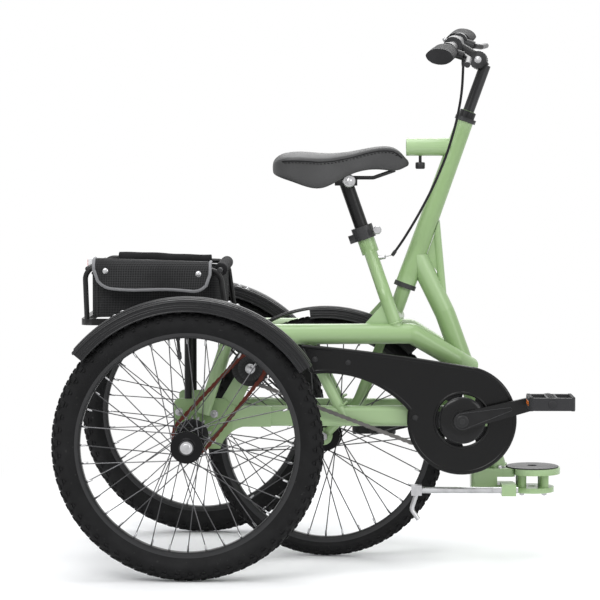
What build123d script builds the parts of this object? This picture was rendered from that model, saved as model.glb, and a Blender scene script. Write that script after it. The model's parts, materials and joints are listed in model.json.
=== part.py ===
"""Rehabilitation tricycle: two rear wheels on a live axle, one steered wheel ahead of it."""
import os
from math import cos, hypot, radians, sin, sqrt

from build123d import *

os.makedirs("parts", exist_ok=True)

SIDES = (("right", -1), ("left", 1))

# Wheels
REAR_R = 254
REAR_TYRE_W = 50
FRONT_R = 238
FRONT_TYRE_W = 36
RIM_SEAT_R = 206
RIM_INNER_R = RIM_SEAT_R - 6
RIM_FLANGE_R = RIM_SEAT_R + 6
RIM_W = 26
TRACK = 620
FRONT_HUB_X = 257
SPOKE_R = 1.1
SPOKES_PER_GROUP = 9
SPOKE_LEAD = 60
FLANGE_R = 30
FLANGE_T = 3.5
REAR_FLANGE_SPACING = 70
FRONT_FLANGE_SPACING = 36
AXLE_R = 10
FRONT_AXLE_R = 5
RUN = 0.08
SEAT_GAP = 0.2

# Steering
STEER_LOW = (414.5, 540)
STEER_TOP = (529, 857)
REST_TURN = 8
HEAD_LOW_R = 20
HEAD_TOP_R = 17
STEERER_R = 14.3
CROWN_DROP = 69
CROWN_R = 16
CROWN_HALF = 46
FORK_LEG_Y = 34
FORK_LEG_D = 18
FORK_KNEE = (322, 305)
FORK_BEND = 70
FORK_WALL = 3
FENDER_GAP = 12
FENDER_T = 2
STEM_PIVOT = (556, 977)
BAR_CENTRE = (507, 1006)
BAR_TILT = 9
BAR_D = 22.2
BAR_HALF = 285
GRIP_LENGTH = 128
GRIP_WIDE = 54
GRIP_HIGH = 31

# Frame
UPPER_Z = 445
UPPER_D = 40
UPPER_REAR = (70, 100)
UPPER_FRONT = (425, 66)
UPPER_FOOT = (512, 34, 392)
TUBE_WALL = 2
CROSS_D = 34
CROSS_HALF = 170
RAIL_Y = 76
RAIL_HIGH = 40
RAIL_WIDE = 20
RAIL_Z = 285
RAIL_FRONT_X = 440
PLATE_T = 6
PLATE_Y = RAIL_Y + RAIL_WIDE / 2
PLATE_TOP = 320
PLATE_LOW = 222
PLATE_REAR_X = -38
PLATE_FRONT_X = 150
DOWN_D = 40
SEAT_FOOT = (395, 457)
SEAT_TOP = (330, 642)
SEAT_D = 34
SEAT_SPLIT = 0.77
SEAT_KNEE = (372, 68, 520)
POST_DEPTH = 36
SEAT_LEG_D = 26
SEAT_WALL = 2.5
POST_D = 27.2
POST_TOP_Z = 738
BRACE_D = 22
STAY_D = 25

# Drive
CRANK_X = 520
CRANK_Z = 280
SHELL_R = 19
YOKE_INNER = 62
YOKE_T = 10
SPINDLE_R = 8.5
CHAIN_Y = 98
CHAIN_HIGH = 8.5
CHAIN_WIDE = 7
RING_PITCH_R = 76.9
HUB_GEAR = (112, 384)
HUB_GEAR_R = 36
HUB_GEAR_PITCH_R = 28.5
AXLE_CHAIN_Y = 147
AXLE_PITCH_R = 36.6
GUARD_R = 101
GUARD_Y = 112
GUARD_T = 2.5
GUARD_LIP = 10
GUARD_HOLE_R = 50
GUARD_POST_X = 430
GUARD_POST_R = 5
ARM_Y = 121
ARM_T = 12
CRANK_LENGTH = 170
CRANK_ANGLE = 14.4
PEDAL_W = 92
PEDAL_L = 88
PEDAL_T = 24
PEDAL_SPINDLE_R = 6

# Coupling
COUPLING_X = 544
COUPLING_Z = 128
COUPLING_HIGH = 48
COUPLING_PLATE_X = 665
COUPLING_PLATE_R = 55
COUPLING_BORE_R = 8
ROD_Y = -70
ROD_Z = 139
ROD_REAR_X = 430
ROD_D = 12.8
LUG_HIGH = 22

# Luggage
BASKET_REAR = -208
BASKET_FRONT = 78
BASKET_HALF = 205
BASKET_LOW = 482
BASKET_TOP = 582
BASKET_T = 5
BASKET_BAR_D = 12
FOAM_D = 26
REAR_FENDER_R = 270
REAR_FENDER_W = 60

# The origin lies on the floor under the middle of the part's length
FRONT_REACH = CRANK_X + CRANK_LENGTH * cos(radians(CRANK_ANGLE)) + PEDAL_L / 2
AXLE_X = -(FRONT_REACH - REAR_R) / 2


def at(x, y, z):
    """A point given ahead of the rear axle, to the left and above the floor."""
    return Vector(x + AXLE_X, y, z)


STEER_ORIGIN = at(STEER_LOW[0], 0, STEER_LOW[1])
STEER_LEAN = (STEER_TOP[0] - STEER_LOW[0], STEER_TOP[1] - STEER_LOW[1])
HEAD_LENGTH = hypot(*STEER_LEAN)
STEER_DIR = Vector(STEER_LEAN[0], 0, STEER_LEAN[1]) / HEAD_LENGTH
STEER_AXIS = Axis(STEER_ORIGIN, STEER_DIR)
LEAN_SIN = STEER_DIR.X


def on_steer(distance):
    """A plane across the steering axis, at a distance above the head tube's lower end."""
    return Plane(STEER_ORIGIN + STEER_DIR * distance, x_dir=(0, 1, 0), z_dir=STEER_DIR)


def turned(piece):
    """A steered piece, built straight ahead, at its turned rest."""
    return piece.rotate(STEER_AXIS, -REST_TURN)


def front_hub_height():
    """The hub height at which the turned front tyre touches the floor."""
    lean = LEAN_SIN * sin(radians(REST_TURN))
    section = FRONT_TYRE_W / 2
    reach = (FRONT_R - section) * sqrt(1 - lean * lean) + section
    axis_x = STEER_LOW[0] + (FRONT_R - STEER_LOW[1]) * STEER_LEAN[0] / STEER_LEAN[1]
    offset = (FRONT_HUB_X - axis_x) * STEER_DIR.Z
    return reach - offset * (1 - cos(radians(REST_TURN))) * LEAN_SIN


FRONT_HUB_Z = front_hub_height()
REAR_HUB = (0, REAR_R)


def tube(points, outer, wall=0, bend=0):
    """A round tube along points, solid where wall is nought, bent at its corners."""
    with BuildPart(mode=Mode.PRIVATE) as bent:
        with BuildLine() as route:
            if bend:
                FilletPolyline(*points, radius=bend)
            else:
                Polyline(*points)
        with BuildSketch(Plane(route.line @ 0, z_dir=route.line % 0)):
            Circle(outer / 2)
            if wall:
                Circle(outer / 2 - wall, mode=Mode.SUBTRACT)
        sweep()
    return bent.part


def bar_y(x, z, low, high, radius, bore=0):
    """A round bar along Y between two places, with an optional bore."""
    with BuildPart(mode=Mode.PRIVATE) as bar:
        with BuildSketch(Plane(at(x, low, z), x_dir=(1, 0, 0), z_dir=(0, 1, 0))):
            Circle(radius)
            if bore:
                Circle(bore, mode=Mode.SUBTRACT)
        extrude(amount=high - low)
    return bar.part


def side_plane(y):
    """The plane of a plate seen from the right side, its own x forward and its own y up."""
    return Plane(at(0, y, 0), x_dir=(1, 0, 0), z_dir=(0, -1, 0))


def save(piece, name):
    """Label a finished piece and write its file."""
    piece.label = name
    export_step(piece, f"parts/{name}.step")


def flat_wheel(piece, x, y, z):
    """A wheel piece, made about the Z axis, set upright with its axle along Y."""
    return piece.moved(Location(at(x, y, z), (90, 0, 0)))


# Tyres and rims are turned profiles
def make_tyre(radius, width):
    half = width / 2
    bead = RIM_W / 2 - 2.5
    wide_r = (RIM_FLANGE_R + radius) / 2
    shoulder_r = radius - 0.18 * (radius - RIM_SEAT_R)
    with BuildPart(mode=Mode.PRIVATE) as tyre:
        with BuildSketch(Plane.XZ):
            with BuildLine():
                low_right = (RIM_SEAT_R + SEAT_GAP, bead)
                neck_right = (RIM_FLANGE_R + 1.5, bead)
                Polyline((RIM_SEAT_R + SEAT_GAP, -bead), low_right, neck_right)
                ThreePointArc(neck_right, (wide_r, half), (shoulder_r, half * 0.84))
                ThreePointArc((shoulder_r, half * 0.84), (radius, 0), (shoulder_r, -half * 0.84))
                ThreePointArc((shoulder_r, -half * 0.84), (wide_r, -half), (RIM_FLANGE_R + 1.5, -bead))
                Line((RIM_FLANGE_R + 1.5, -bead), (RIM_SEAT_R + SEAT_GAP, -bead))
            make_face()
        revolve(axis=Axis.Z)
    return tyre.part


def make_rim():
    half = RIM_W / 2
    flange = 2
    with BuildPart(mode=Mode.PRIVATE) as rim:
        with BuildSketch(Plane.XZ):
            with BuildLine():
                Polyline(
                    (RIM_INNER_R, -half * 0.6),
                    (RIM_INNER_R, half * 0.6),
                    (RIM_SEAT_R - 2, half),
                    (RIM_FLANGE_R, half),
                    (RIM_FLANGE_R, half - flange),
                    (RIM_SEAT_R, half - flange),
                    (RIM_SEAT_R, -half + flange),
                    (RIM_FLANGE_R, -half + flange),
                    (RIM_FLANGE_R, -half),
                    (RIM_SEAT_R - 2, -half),
                    close=True,
                )
            make_face()
        revolve(axis=Axis.Z)
    return rim.part


def make_spoke(side, lead, spacing):
    """One spoke from its flange to the rim, leaning ahead or back."""
    hub_r = FLANGE_R - 4
    angle = radians(lead * SPOKE_LEAD)
    start = Vector(hub_r * cos(angle), hub_r * sin(angle), side * spacing / 2 + lead * 1.6)
    end = Vector(RIM_INNER_R - SEAT_GAP, 0, side * 3)
    with BuildPart(mode=Mode.PRIVATE) as spoke:
        with BuildSketch(Plane(start, z_dir=end - start)):
            RegularPolygon(SPOKE_R, 6)
        extrude(amount=(end - start).length)
    return spoke.part


def make_hub(spacing, bore, end_half):
    """A hub shell with two flanges and its crossed spokes."""
    half = spacing / 2
    spokes = []
    for group, (side, lead) in enumerate(((-1, -1), (1, -1), (-1, 1), (1, 1))):
        spokes.append((make_spoke(side, lead, spacing), group * 90 / SPOKES_PER_GROUP))
    with BuildPart(mode=Mode.PRIVATE) as hub:
        with BuildSketch(Plane.XZ):
            with BuildLine():
                Polyline(
                    (bore, -end_half),
                    (bore + 5, -end_half),
                    (bore + 8, -half - FLANGE_T),
                    (FLANGE_R, -half - FLANGE_T / 2),
                    (FLANGE_R, -half + FLANGE_T / 2),
                    (bore + 7, -half + FLANGE_T),
                    (bore + 7, half - FLANGE_T),
                    (FLANGE_R, half - FLANGE_T / 2),
                    (FLANGE_R, half + FLANGE_T / 2),
                    (bore + 8, half + FLANGE_T),
                    (bore + 5, end_half),
                    (bore, end_half),
                    close=True,
                )
            make_face()
        revolve(axis=Axis.Z)
        for spoke, start_angle in spokes:
            with PolarLocations(0, SPOKES_PER_GROUP, start_angle):
                add(spoke)
    return hub.part


rear_tyre = make_tyre(REAR_R, REAR_TYRE_W)
rim = make_rim()
rear_hub = make_hub(REAR_FLANGE_SPACING, AXLE_R + RUN, REAR_FLANGE_SPACING / 2 + 6)
for side, sign in SIDES:
    place = (*REAR_HUB[:1], sign * TRACK / 2, REAR_HUB[1])
    save(flat_wheel(rear_tyre, *place), f"rear_tyre_{side}")
    save(flat_wheel(rim, *place), f"rear_rim_{side}")
    save(flat_wheel(rear_hub, *place), f"rear_hub_{side}")

front_place = (FRONT_HUB_X, 0, FRONT_HUB_Z)
front_tyre = make_tyre(FRONT_R, FRONT_TYRE_W)
front_hub = make_hub(FRONT_FLANGE_SPACING, FRONT_AXLE_R + RUN, FORK_LEG_Y - 5.5)
save(turned(flat_wheel(front_tyre, *front_place)), "front_tyre")
save(turned(flat_wheel(rim, *front_place)), "front_rim")
save(turned(flat_wheel(front_hub, *front_place)), "front_hub")

# Rear axle with its sprocket and end caps
AXLE_END = TRACK / 2 + REAR_FLANGE_SPACING / 2 + 6.5
SPROCKET_R = AXLE_PITCH_R - CHAIN_HIGH / 2 - 0.5
with BuildPart() as rear_axle:
    add(bar_y(*REAR_HUB, -AXLE_END, AXLE_END, AXLE_R))
    add(bar_y(*REAR_HUB, -AXLE_CHAIN_Y - 2, -AXLE_CHAIN_Y + 2, SPROCKET_R))
    add(bar_y(*REAR_HUB, -AXLE_CHAIN_Y - 12, -AXLE_CHAIN_Y + 12, AXLE_R + 7))
    for sign in (-1, 1):
        cap = bar_y(*REAR_HUB, sign * AXLE_END - 6 * (sign < 0), sign * AXLE_END + 6 * (sign > 0), 14)
        add(cap)
save(rear_axle.part, "rear_axle")

# Axle plates with their bearing flanges
for side, sign in SIDES:
    inner = PLATE_Y * sign
    with BuildPart() as axle_plate:
        with BuildSketch(Plane(at(0, inner, 0), x_dir=(1, 0, 0), z_dir=(0, sign, 0))):
            flip = -sign
            with BuildLine():
                Polyline(
                    (PLATE_REAR_X, flip * PLATE_TOP),
                    (60, flip * PLATE_TOP),
                    (78, flip * (RAIL_Z + RAIL_HIGH / 2)),
                    (PLATE_FRONT_X, flip * (RAIL_Z + RAIL_HIGH / 2)),
                    (PLATE_FRONT_X, flip * (RAIL_Z - RAIL_HIGH / 2)),
                    (96, flip * (RAIL_Z - RAIL_HIGH / 2)),
                )
                RadiusArc((96, flip * (RAIL_Z - RAIL_HIGH / 2)), (52, flip * PLATE_LOW), -60 * flip)
                Polyline(
                    (52, flip * PLATE_LOW),
                    (PLATE_REAR_X, flip * PLATE_LOW),
                    (PLATE_REAR_X, flip * PLATE_TOP),
                )
            make_face()
        extrude(amount=PLATE_T)
        fillet(axle_plate.edges().filter_by(Axis.Y).group_by(Axis.X)[0], 10)
        add(bar_y(*REAR_HUB, *sorted((inner + sign * PLATE_T, inner + sign * 22)), 27))
        add(bar_y(*REAR_HUB, *sorted((inner - sign, inner + sign * 30)), AXLE_R + RUN), mode=Mode.SUBTRACT)
    save(axle_plate.part, f"axle_plate_{side}")

# Lower rails: flattened tubes from the axle plates to the crank
def rail(sign, inset=0):
    with BuildPart(mode=Mode.PRIVATE) as piece:
        with BuildSketch(Plane(at(PLATE_FRONT_X - 60, sign * RAIL_Y, RAIL_Z), x_dir=(0, 1, 0), z_dir=(1, 0, 0))):
            SlotOverall(RAIL_HIGH - 2 * inset, RAIL_WIDE - 2 * inset, rotation=90)
        extrude(amount=RAIL_FRONT_X - PLATE_FRONT_X + 60)
    return piece.part


yokes = {}
for side, sign in SIDES:
    low, high = sorted((sign * YOKE_INNER, sign * (YOKE_INNER + YOKE_T)))
    with BuildPart(mode=Mode.PRIVATE) as yoke:
        with BuildSketch(side_plane(high)):
            with BuildLine():
                Polyline(
                    (RAIL_FRONT_X - 34, RAIL_Z + 14),
                    (CRANK_X, CRANK_Z + 26),
                    (CRANK_X, CRANK_Z - 26),
                    (RAIL_FRONT_X - 34, RAIL_Z - 14),
                    close=True,
                )
            make_face()
            with Locations((CRANK_X, CRANK_Z)):
                Circle(26)
        extrude(amount=high - low)
    yokes[side] = yoke.part
    with BuildPart() as lower_rail:
        add(rail(sign))
        add(rail(sign, TUBE_WALL), mode=Mode.SUBTRACT)
        add(yoke.part, mode=Mode.SUBTRACT)
    save(lower_rail.part.solids().sort_by(SortBy.VOLUME)[-1], f"lower_rail_{side}")

# Down tube, from the head tube past the crank to the coupling
head_solid = tube([STEER_ORIGIN, STEER_ORIGIN + STEER_DIR * HEAD_LENGTH], 2 * HEAD_LOW_R)
DOWN_START = STEER_ORIGIN + STEER_DIR * 60
down_route = [DOWN_START, at(492, 0, 480), at(541, 0, 345), at(594, 0, COUPLING_Z + COUPLING_HIGH)]
shell_solid = bar_y(CRANK_X, CRANK_Z, -YOKE_INNER - YOKE_T, YOKE_INNER + YOKE_T, SHELL_R)
down_solid = tube(down_route, DOWN_D, bend=160)
with BuildPart() as down_tube:
    add(tube(down_route, DOWN_D, TUBE_WALL, bend=160))
    add(head_solid, mode=Mode.SUBTRACT)
    add(shell_solid, mode=Mode.SUBTRACT)
    split(bisect_by=Plane(at(0, 0, COUPLING_Z + COUPLING_HIGH)), keep=Keep.TOP)
save(down_tube.part.solids().sort_by(SortBy.VOLUME)[-1], "down_tube")

# Bracket shell with its yoke plates
with BuildPart() as bottom_bracket:
    add(shell_solid)
    for side, sign in SIDES:
        add(yokes[side])
    add(bar_y(CRANK_X, CRANK_Z, -120, 120, SPINDLE_R + RUN), mode=Mode.SUBTRACT)
save(bottom_bracket.part, "bottom_bracket")

# Head tube with the open socket tube behind it
SOCKET_Z = 807.5
SOCKET_LOW_X = 414.5
SOCKET_R = 17.5
SOCKET_BORE_R = 14
socket_front = at(500, 0, SOCKET_Z)
with BuildPart() as head_tube:
    with BuildSketch(on_steer(0)):
        Circle(HEAD_LOW_R)
    with BuildSketch(on_steer(HEAD_LENGTH)):
        Circle(HEAD_TOP_R)
    loft()
    add(tube([at(SOCKET_LOW_X, 0, SOCKET_Z), socket_front], 2 * SOCKET_R))
    add(tube([at(SOCKET_LOW_X - 1, 0, SOCKET_Z), at(485, 0, SOCKET_Z)], 2 * SOCKET_BORE_R), mode=Mode.SUBTRACT)
    with BuildSketch(on_steer(-1)):
        Circle(STEERER_R + RUN)
    extrude(amount=HEAD_LENGTH + 2, mode=Mode.SUBTRACT)
save(head_tube.part, "head_tube")

# Headset rings: one under the head tube, a stepped stack above it
with BuildPart() as headset:
    for start, height, radius in ((-9.4, 9, 22), (HEAD_LENGTH + 0.4, 8, 21), (HEAD_LENGTH + 8.4, 13, 16)):
        with BuildSketch(on_steer(start)):
            Circle(radius)
            Circle(STEERER_R + 0.1, mode=Mode.SUBTRACT)
        extrude(amount=height)
save(headset.part, "headset")

# Front brace tube beside the head tube, with the plate that fills the angle
with BuildPart() as front_brace:
    with BuildSketch(side_plane(3)):
        with BuildLine():
            Polyline((478, 705), (478, 560), (455, 590), close=True)
        make_face()
    extrude(amount=6)
    add(tube([at(470, 0, 700), at(487, 0, 520)], 15))
    add(head_solid, mode=Mode.SUBTRACT)
    add(down_solid, mode=Mode.SUBTRACT)
save(front_brace.part.solids().sort_by(SortBy.VOLUME)[-1], "front_brace")

# Twin upper tubes, closing towards the crank, and the cross tube behind them
cross_solid = bar_y(UPPER_REAR[0], UPPER_Z, -CROSS_HALF, CROSS_HALF, CROSS_D / 2)
save(bar_y(UPPER_REAR[0], UPPER_Z, -CROSS_HALF, CROSS_HALF, CROSS_D / 2, CROSS_D / 2 - TUBE_WALL), "cross_tube")
upper_routes = {}
for side, sign in SIDES:
    upper_routes[side] = [
        at(UPPER_REAR[0], sign * UPPER_REAR[1], UPPER_Z),
        at(UPPER_FRONT[0], sign * UPPER_FRONT[1], UPPER_Z),
        at(UPPER_FOOT[0], sign * UPPER_FOOT[1], UPPER_FOOT[2]),
        at(UPPER_FOOT[0] + 30, sign * 10, UPPER_FOOT[2] - 20),
    ]
    with BuildPart() as upper_tube:
        add(tube(upper_routes[side], UPPER_D, TUBE_WALL, bend=20))
        add(cross_solid, mode=Mode.SUBTRACT)
        add(down_solid, mode=Mode.SUBTRACT)
    save(upper_tube.part.solids().sort_by(SortBy.VOLUME)[-1], f"upper_tube_{side}")

# Seat tube with a forked foot that straddles the fork's neck
seat_dir = (Vector(SEAT_TOP[0], 0, SEAT_TOP[1]) - Vector(SEAT_FOOT[0], 0, SEAT_FOOT[1])).normalized()
seat_top = at(SEAT_TOP[0], 0, SEAT_TOP[1])
seat_foot = at(SEAT_FOOT[0], 0, SEAT_FOOT[1])
seat_split = seat_foot + (seat_top - seat_foot) * SEAT_SPLIT
foot_y = UPPER_FRONT[1] + 4
uppers_solid = [tube(upper_routes[side], UPPER_D, bend=20) for side, sign in SIDES]
seat_legs = []
with BuildPart() as seat_tube:
    add(tube([seat_top, seat_split], SEAT_D))
    for side, sign in SIDES:
        leg_foot = seat_foot + Vector(4, sign * foot_y, -12)
        leg_knee = at(SEAT_KNEE[0], sign * SEAT_KNEE[1], SEAT_KNEE[2])
        seat_legs.append([seat_split + seat_dir * 8, leg_knee, leg_foot])
        add(tube(seat_legs[-1], SEAT_LEG_D, bend=40))
    for leg in seat_legs:
        add(tube(leg, SEAT_LEG_D - 2 * SEAT_WALL, bend=40), mode=Mode.SUBTRACT)
    add(tube([seat_top + seat_dir, seat_top - seat_dir * (POST_DEPTH + 3)], POST_D + 0.2), mode=Mode.SUBTRACT)
    for upper in uppers_solid:
        add(upper, mode=Mode.SUBTRACT)
save(seat_tube.part.solids().sort_by(SortBy.VOLUME)[-1], "seat_tube")

# Seat clamp with its slit ears, on the seat tube's upper end
CLAMP_HIGH = 26
CLAMP_R = 21.5
clamp_low = seat_top - seat_dir * 16
with BuildPart() as seat_clamp:
    with BuildSketch(Plane(clamp_low, x_dir=(0, 1, 0), z_dir=seat_dir)):
        Circle(CLAMP_R)
        with Locations((0, CLAMP_R + 3)):
            Rectangle(16, 14)
        Circle(SEAT_D / 2 + RUN, mode=Mode.SUBTRACT)
        with Locations((0, CLAMP_R)):
            Rectangle(3, 26, mode=Mode.SUBTRACT)
    extrude(amount=CLAMP_HIGH - 10)
    with BuildSketch(Plane(clamp_low + seat_dir * (CLAMP_HIGH - 10), x_dir=(0, 1, 0), z_dir=seat_dir)):
        Circle(CLAMP_R)
        Circle(POST_D / 2 + RUN, mode=Mode.SUBTRACT)
    extrude(amount=10)
save(seat_clamp.part, "seat_clamp")

# Seat post and the saddle on its two wire rails
POST_LENGTH = (POST_TOP_Z - SEAT_TOP[1]) / seat_dir.Z
post_top = seat_top + seat_dir * POST_LENGTH
RAIL_WIRE = 7
SADDLE_RAIL_Y = 22
SADDLE_LOW = POST_TOP_Z + 24
SADDLE_REAR_X = 150
SADDLE_NOSE_X = 422
SADDLE_RAIL_Z = POST_TOP_Z + 9
with BuildPart() as seat_post:
    add(tube([seat_top - seat_dir * POST_DEPTH, post_top], POST_D, 2.5))
    with Locations(post_top):
        Box(44, 62, 12)
save(seat_post.part, "seat_post")
with BuildPart() as saddle_rails:
    for side, sign in SIDES:
        y = sign * SADDLE_RAIL_Y
        rail_points = [
            at(192, y * 1.6, SADDLE_LOW - SEAT_GAP),
            at(222, y, SADDLE_RAIL_Z + RAIL_WIRE / 2 - 3.3),
            at(350, y, SADDLE_RAIL_Z + RAIL_WIRE / 2 - 3.3),
            at(392, y * 0.5, SADDLE_LOW - SEAT_GAP),
        ]
        add(tube(rail_points, RAIL_WIRE, bend=14))
    add(seat_post.part, mode=Mode.SUBTRACT)
    with Locations(at(300, 0, SADDLE_LOW + 50)):
        Box(400, 200, 100, mode=Mode.SUBTRACT)
save(saddle_rails.part, "saddle_rails")
SADDLE_SECTIONS = (
    # along X, half width, top and underside above the lowest face
    (150, 58, 30, 2),
    (190, 84, 40, 0),
    (250, 72, 36, 0),
    (330, 34, 28, 0),
    (400, 24, 26, 0),
    (422, 15, 20, 4),
)
with BuildPart() as saddle:
    for x, half, top, low in SADDLE_SECTIONS:
        with BuildSketch(Plane(at(x, 0, SADDLE_LOW + (top + low) / 2), x_dir=(0, 1, 0), z_dir=(1, 0, 0))):
            RectangleRounded(2 * half, top - low, 0.36 * (top - low))
    loft(ruled=True)
save(saddle.part, "saddle")

# Brace tubes between the upper tubes and the rails, and stays down to the axle plates
for side, sign in SIDES:
    with BuildPart() as brace:
        add(tube([at(212, sign * (RAIL_Y + 5), UPPER_Z), at(292, sign * RAIL_Y, RAIL_Z)], BRACE_D, TUBE_WALL))
        add(tube(upper_routes[side], UPPER_D, bend=20), mode=Mode.SUBTRACT)
        add(rail(sign), mode=Mode.SUBTRACT)
    save(brace.part.solids().sort_by(SortBy.VOLUME)[-1], f"brace_{side}")
    stay_y = sign * (PLATE_Y + PLATE_T + STAY_D / 2 + SEAT_GAP)
    with BuildPart() as stay:
        add(tube([at(UPPER_REAR[0], stay_y, UPPER_Z), at(20, stay_y, 292)], STAY_D, TUBE_WALL))
        add(cross_solid, mode=Mode.SUBTRACT)
        add(tube(upper_routes[side], UPPER_D, bend=20), mode=Mode.SUBTRACT)
        add(bar_y(*REAR_HUB, -200, 200, 27 + SEAT_GAP), mode=Mode.SUBTRACT)
    save(stay.part.solids().sort_by(SortBy.VOLUME)[-1], f"stay_{side}")

# Coupling: a block under the down tube, a round bearing plate and a clamp rod with its lever
LUG_X = COUPLING_X + 70
with BuildPart() as coupling_block:
    with Locations(at(COUPLING_X + 42, 0, COUPLING_Z + COUPLING_HIGH / 2)):
        Box(86, 64, COUPLING_HIGH)
    fillet(coupling_block.edges().filter_by(Axis.Z), 8)
    with Locations(at(COUPLING_X + 70, 0, COUPLING_Z + COUPLING_HIGH / 2)):
        Box(40, 80, 16, mode=Mode.SUBTRACT)
    with Locations(at(LUG_X, (ROD_Y - 40) / 2, COUPLING_Z + LUG_HIGH / 2)):
        Box(28, -ROD_Y - 20, LUG_HIGH)
    add(tube([at(LUG_X - 60, ROD_Y, ROD_Z), at(LUG_X + 60, ROD_Y, ROD_Z)], ROD_D + 0.2), mode=Mode.SUBTRACT)
save(coupling_block.part, "coupling_block")
with BuildPart() as coupling_plate:
    with BuildSketch(Plane(at(COUPLING_PLATE_X, 0, COUPLING_Z + COUPLING_HIGH - 12))):
        Circle(COUPLING_PLATE_R)
        Circle(COUPLING_BORE_R, mode=Mode.SUBTRACT)
    extrude(amount=12)
    with BuildSketch(Plane(at(COUPLING_PLATE_X, 0, COUPLING_Z))):
        Circle(COUPLING_PLATE_R - 12)
        Circle(COUPLING_BORE_R, mode=Mode.SUBTRACT)
    extrude(amount=10)
    with BuildSketch(Plane(at(COUPLING_PLATE_X, 0, COUPLING_Z))):
        with PolarLocations(COUPLING_PLATE_R - 24, 4, 45):
            Circle(9)
    extrude(amount=COUPLING_HIGH - 6)
    add(coupling_block.part, mode=Mode.SUBTRACT)
    with Locations(at(COUPLING_X + 42, 0, COUPLING_Z + COUPLING_HIGH / 2)):
        Box(86, 84, COUPLING_HIGH, mode=Mode.SUBTRACT)
save(coupling_plate.part.solids().sort_by(SortBy.VOLUME)[-1], "coupling_plate")
with BuildPart() as clamp_rod:
    add(tube([at(ROD_REAR_X, ROD_Y, ROD_Z), at(LUG_X + 18, ROD_Y, ROD_Z)], ROD_D))
    with Locations(at(ROD_REAR_X + 4, ROD_Y, ROD_Z)):
        Box(20, 20, 20)
    add(tube([at(ROD_REAR_X + 4, ROD_Y, ROD_Z - 8), at(ROD_REAR_X - 6, ROD_Y, ROD_Z - 38),
              at(ROD_REAR_X + 8, ROD_Y, ROD_Z - 58)], 9, bend=12))
save(clamp_rod.part, "clamp_rod")

# Hub gear beside the steered wheel, carried by a bracket on the right axle plate
GEAR_X, GEAR_Z = HUB_GEAR
with BuildPart() as gear_bracket:
    with BuildSketch(side_plane(-PLATE_Y + 5)):
        with BuildLine():
            Polyline((40, 296), (84, 296), (GEAR_X + 16, GEAR_Z), (GEAR_X - 16, GEAR_Z + 4), close=True)
        make_face()
        with Locations((GEAR_X, GEAR_Z)):
            Circle(17)
    extrude(amount=5)
    add(bar_y(GEAR_X, GEAR_Z, -120, 0, 5.1), mode=Mode.SUBTRACT)
save(gear_bracket.part, "gear_bracket")
with BuildPart() as hub_gear:
    add(bar_y(GEAR_X, GEAR_Z, -162, -PLATE_Y + 14, 5))
    add(bar_y(GEAR_X, GEAR_Z, -PLATE_Y + 5.2, -PLATE_Y + 11, 10))
    for low, high, radius in ((-138, -105, HUB_GEAR_R - 8), (-110, -105, HUB_GEAR_R), (-138, -133, HUB_GEAR_R)):
        add(bar_y(GEAR_X, GEAR_Z, low, high, radius))
    add(bar_y(GEAR_X, GEAR_Z, -CHAIN_Y - 8, -CHAIN_Y + 2, 14))
    add(bar_y(GEAR_X, GEAR_Z, -CHAIN_Y - 1.5, -CHAIN_Y + 1.5, HUB_GEAR_PITCH_R - CHAIN_HIGH / 2 - 0.3))
    add(bar_y(GEAR_X, GEAR_Z, -AXLE_CHAIN_Y - 4, -138, 14))
    axle_cog_r = HUB_GEAR_PITCH_R - CHAIN_HIGH / 2 - 0.3
    add(bar_y(GEAR_X, GEAR_Z, -AXLE_CHAIN_Y - 1.5, -AXLE_CHAIN_Y + 1.5, axle_cog_r))
save(hub_gear.part, "hub_gear")


# Chains: closed loops over two pitch circles
def chain_loop(y, first, first_r, second, second_r, grow):
    """The outline of a chain's loop, grown or shrunk from its pitch line, as a plate at y."""
    with BuildPart(mode=Mode.PRIVATE) as loop:
        with BuildSketch(side_plane(y + CHAIN_WIDE / 2)):
            with Locations(first):
                Circle(first_r + grow)
            with Locations(second):
                Circle(second_r + grow)
            make_hull()
        extrude(amount=CHAIN_WIDE)
    return loop.part


DRIVE_ENDS = ((CRANK_X, CRANK_Z), RING_PITCH_R, HUB_GEAR, HUB_GEAR_PITCH_R)
AXLE_ENDS = (REAR_HUB, AXLE_PITCH_R, HUB_GEAR, HUB_GEAR_PITCH_R)
for name, y, ends in (("drive_chain", -CHAIN_Y, DRIVE_ENDS), ("axle_chain", -AXLE_CHAIN_Y, AXLE_ENDS)):
    with BuildPart() as chain:
        add(chain_loop(y, *ends, CHAIN_HIGH / 2))
        add(chain_loop(y, *ends, -CHAIN_HIGH / 2), mode=Mode.SUBTRACT)
    save(chain.part, name)


# Chain guard: a disc round the chainring with an arm that sweeps up and back over the chain
def guard_outline(inset):
    """The guard's outline seen from the right, drawn inside its edge by the inset."""
    with BuildSketch(mode=Mode.PRIVATE) as outline:
        with Locations((CRANK_X, CRANK_Z)):
            Circle(GUARD_R)
        with BuildLine():
            tip_top = (CRANK_X - 310, CRANK_Z + 142)
            tip_low = (CRANK_X - 288, CRANK_Z + 94)
            crown = (CRANK_X + 20, CRANK_Z + 98)
            heel = (CRANK_X - 98, CRANK_Z + 20)
            ThreePointArc(tip_top, (CRANK_X - 125, CRANK_Z + 121), crown)
            Line(crown, heel)
            ThreePointArc(heel, (CRANK_X - 168, CRANK_Z + 74), tip_low)
            Line(tip_low, tip_top)
        make_face()
        if inset:
            offset(amount=-inset, kind=Kind.INTERSECTION, mode=Mode.REPLACE)
    return outline.sketch


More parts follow.
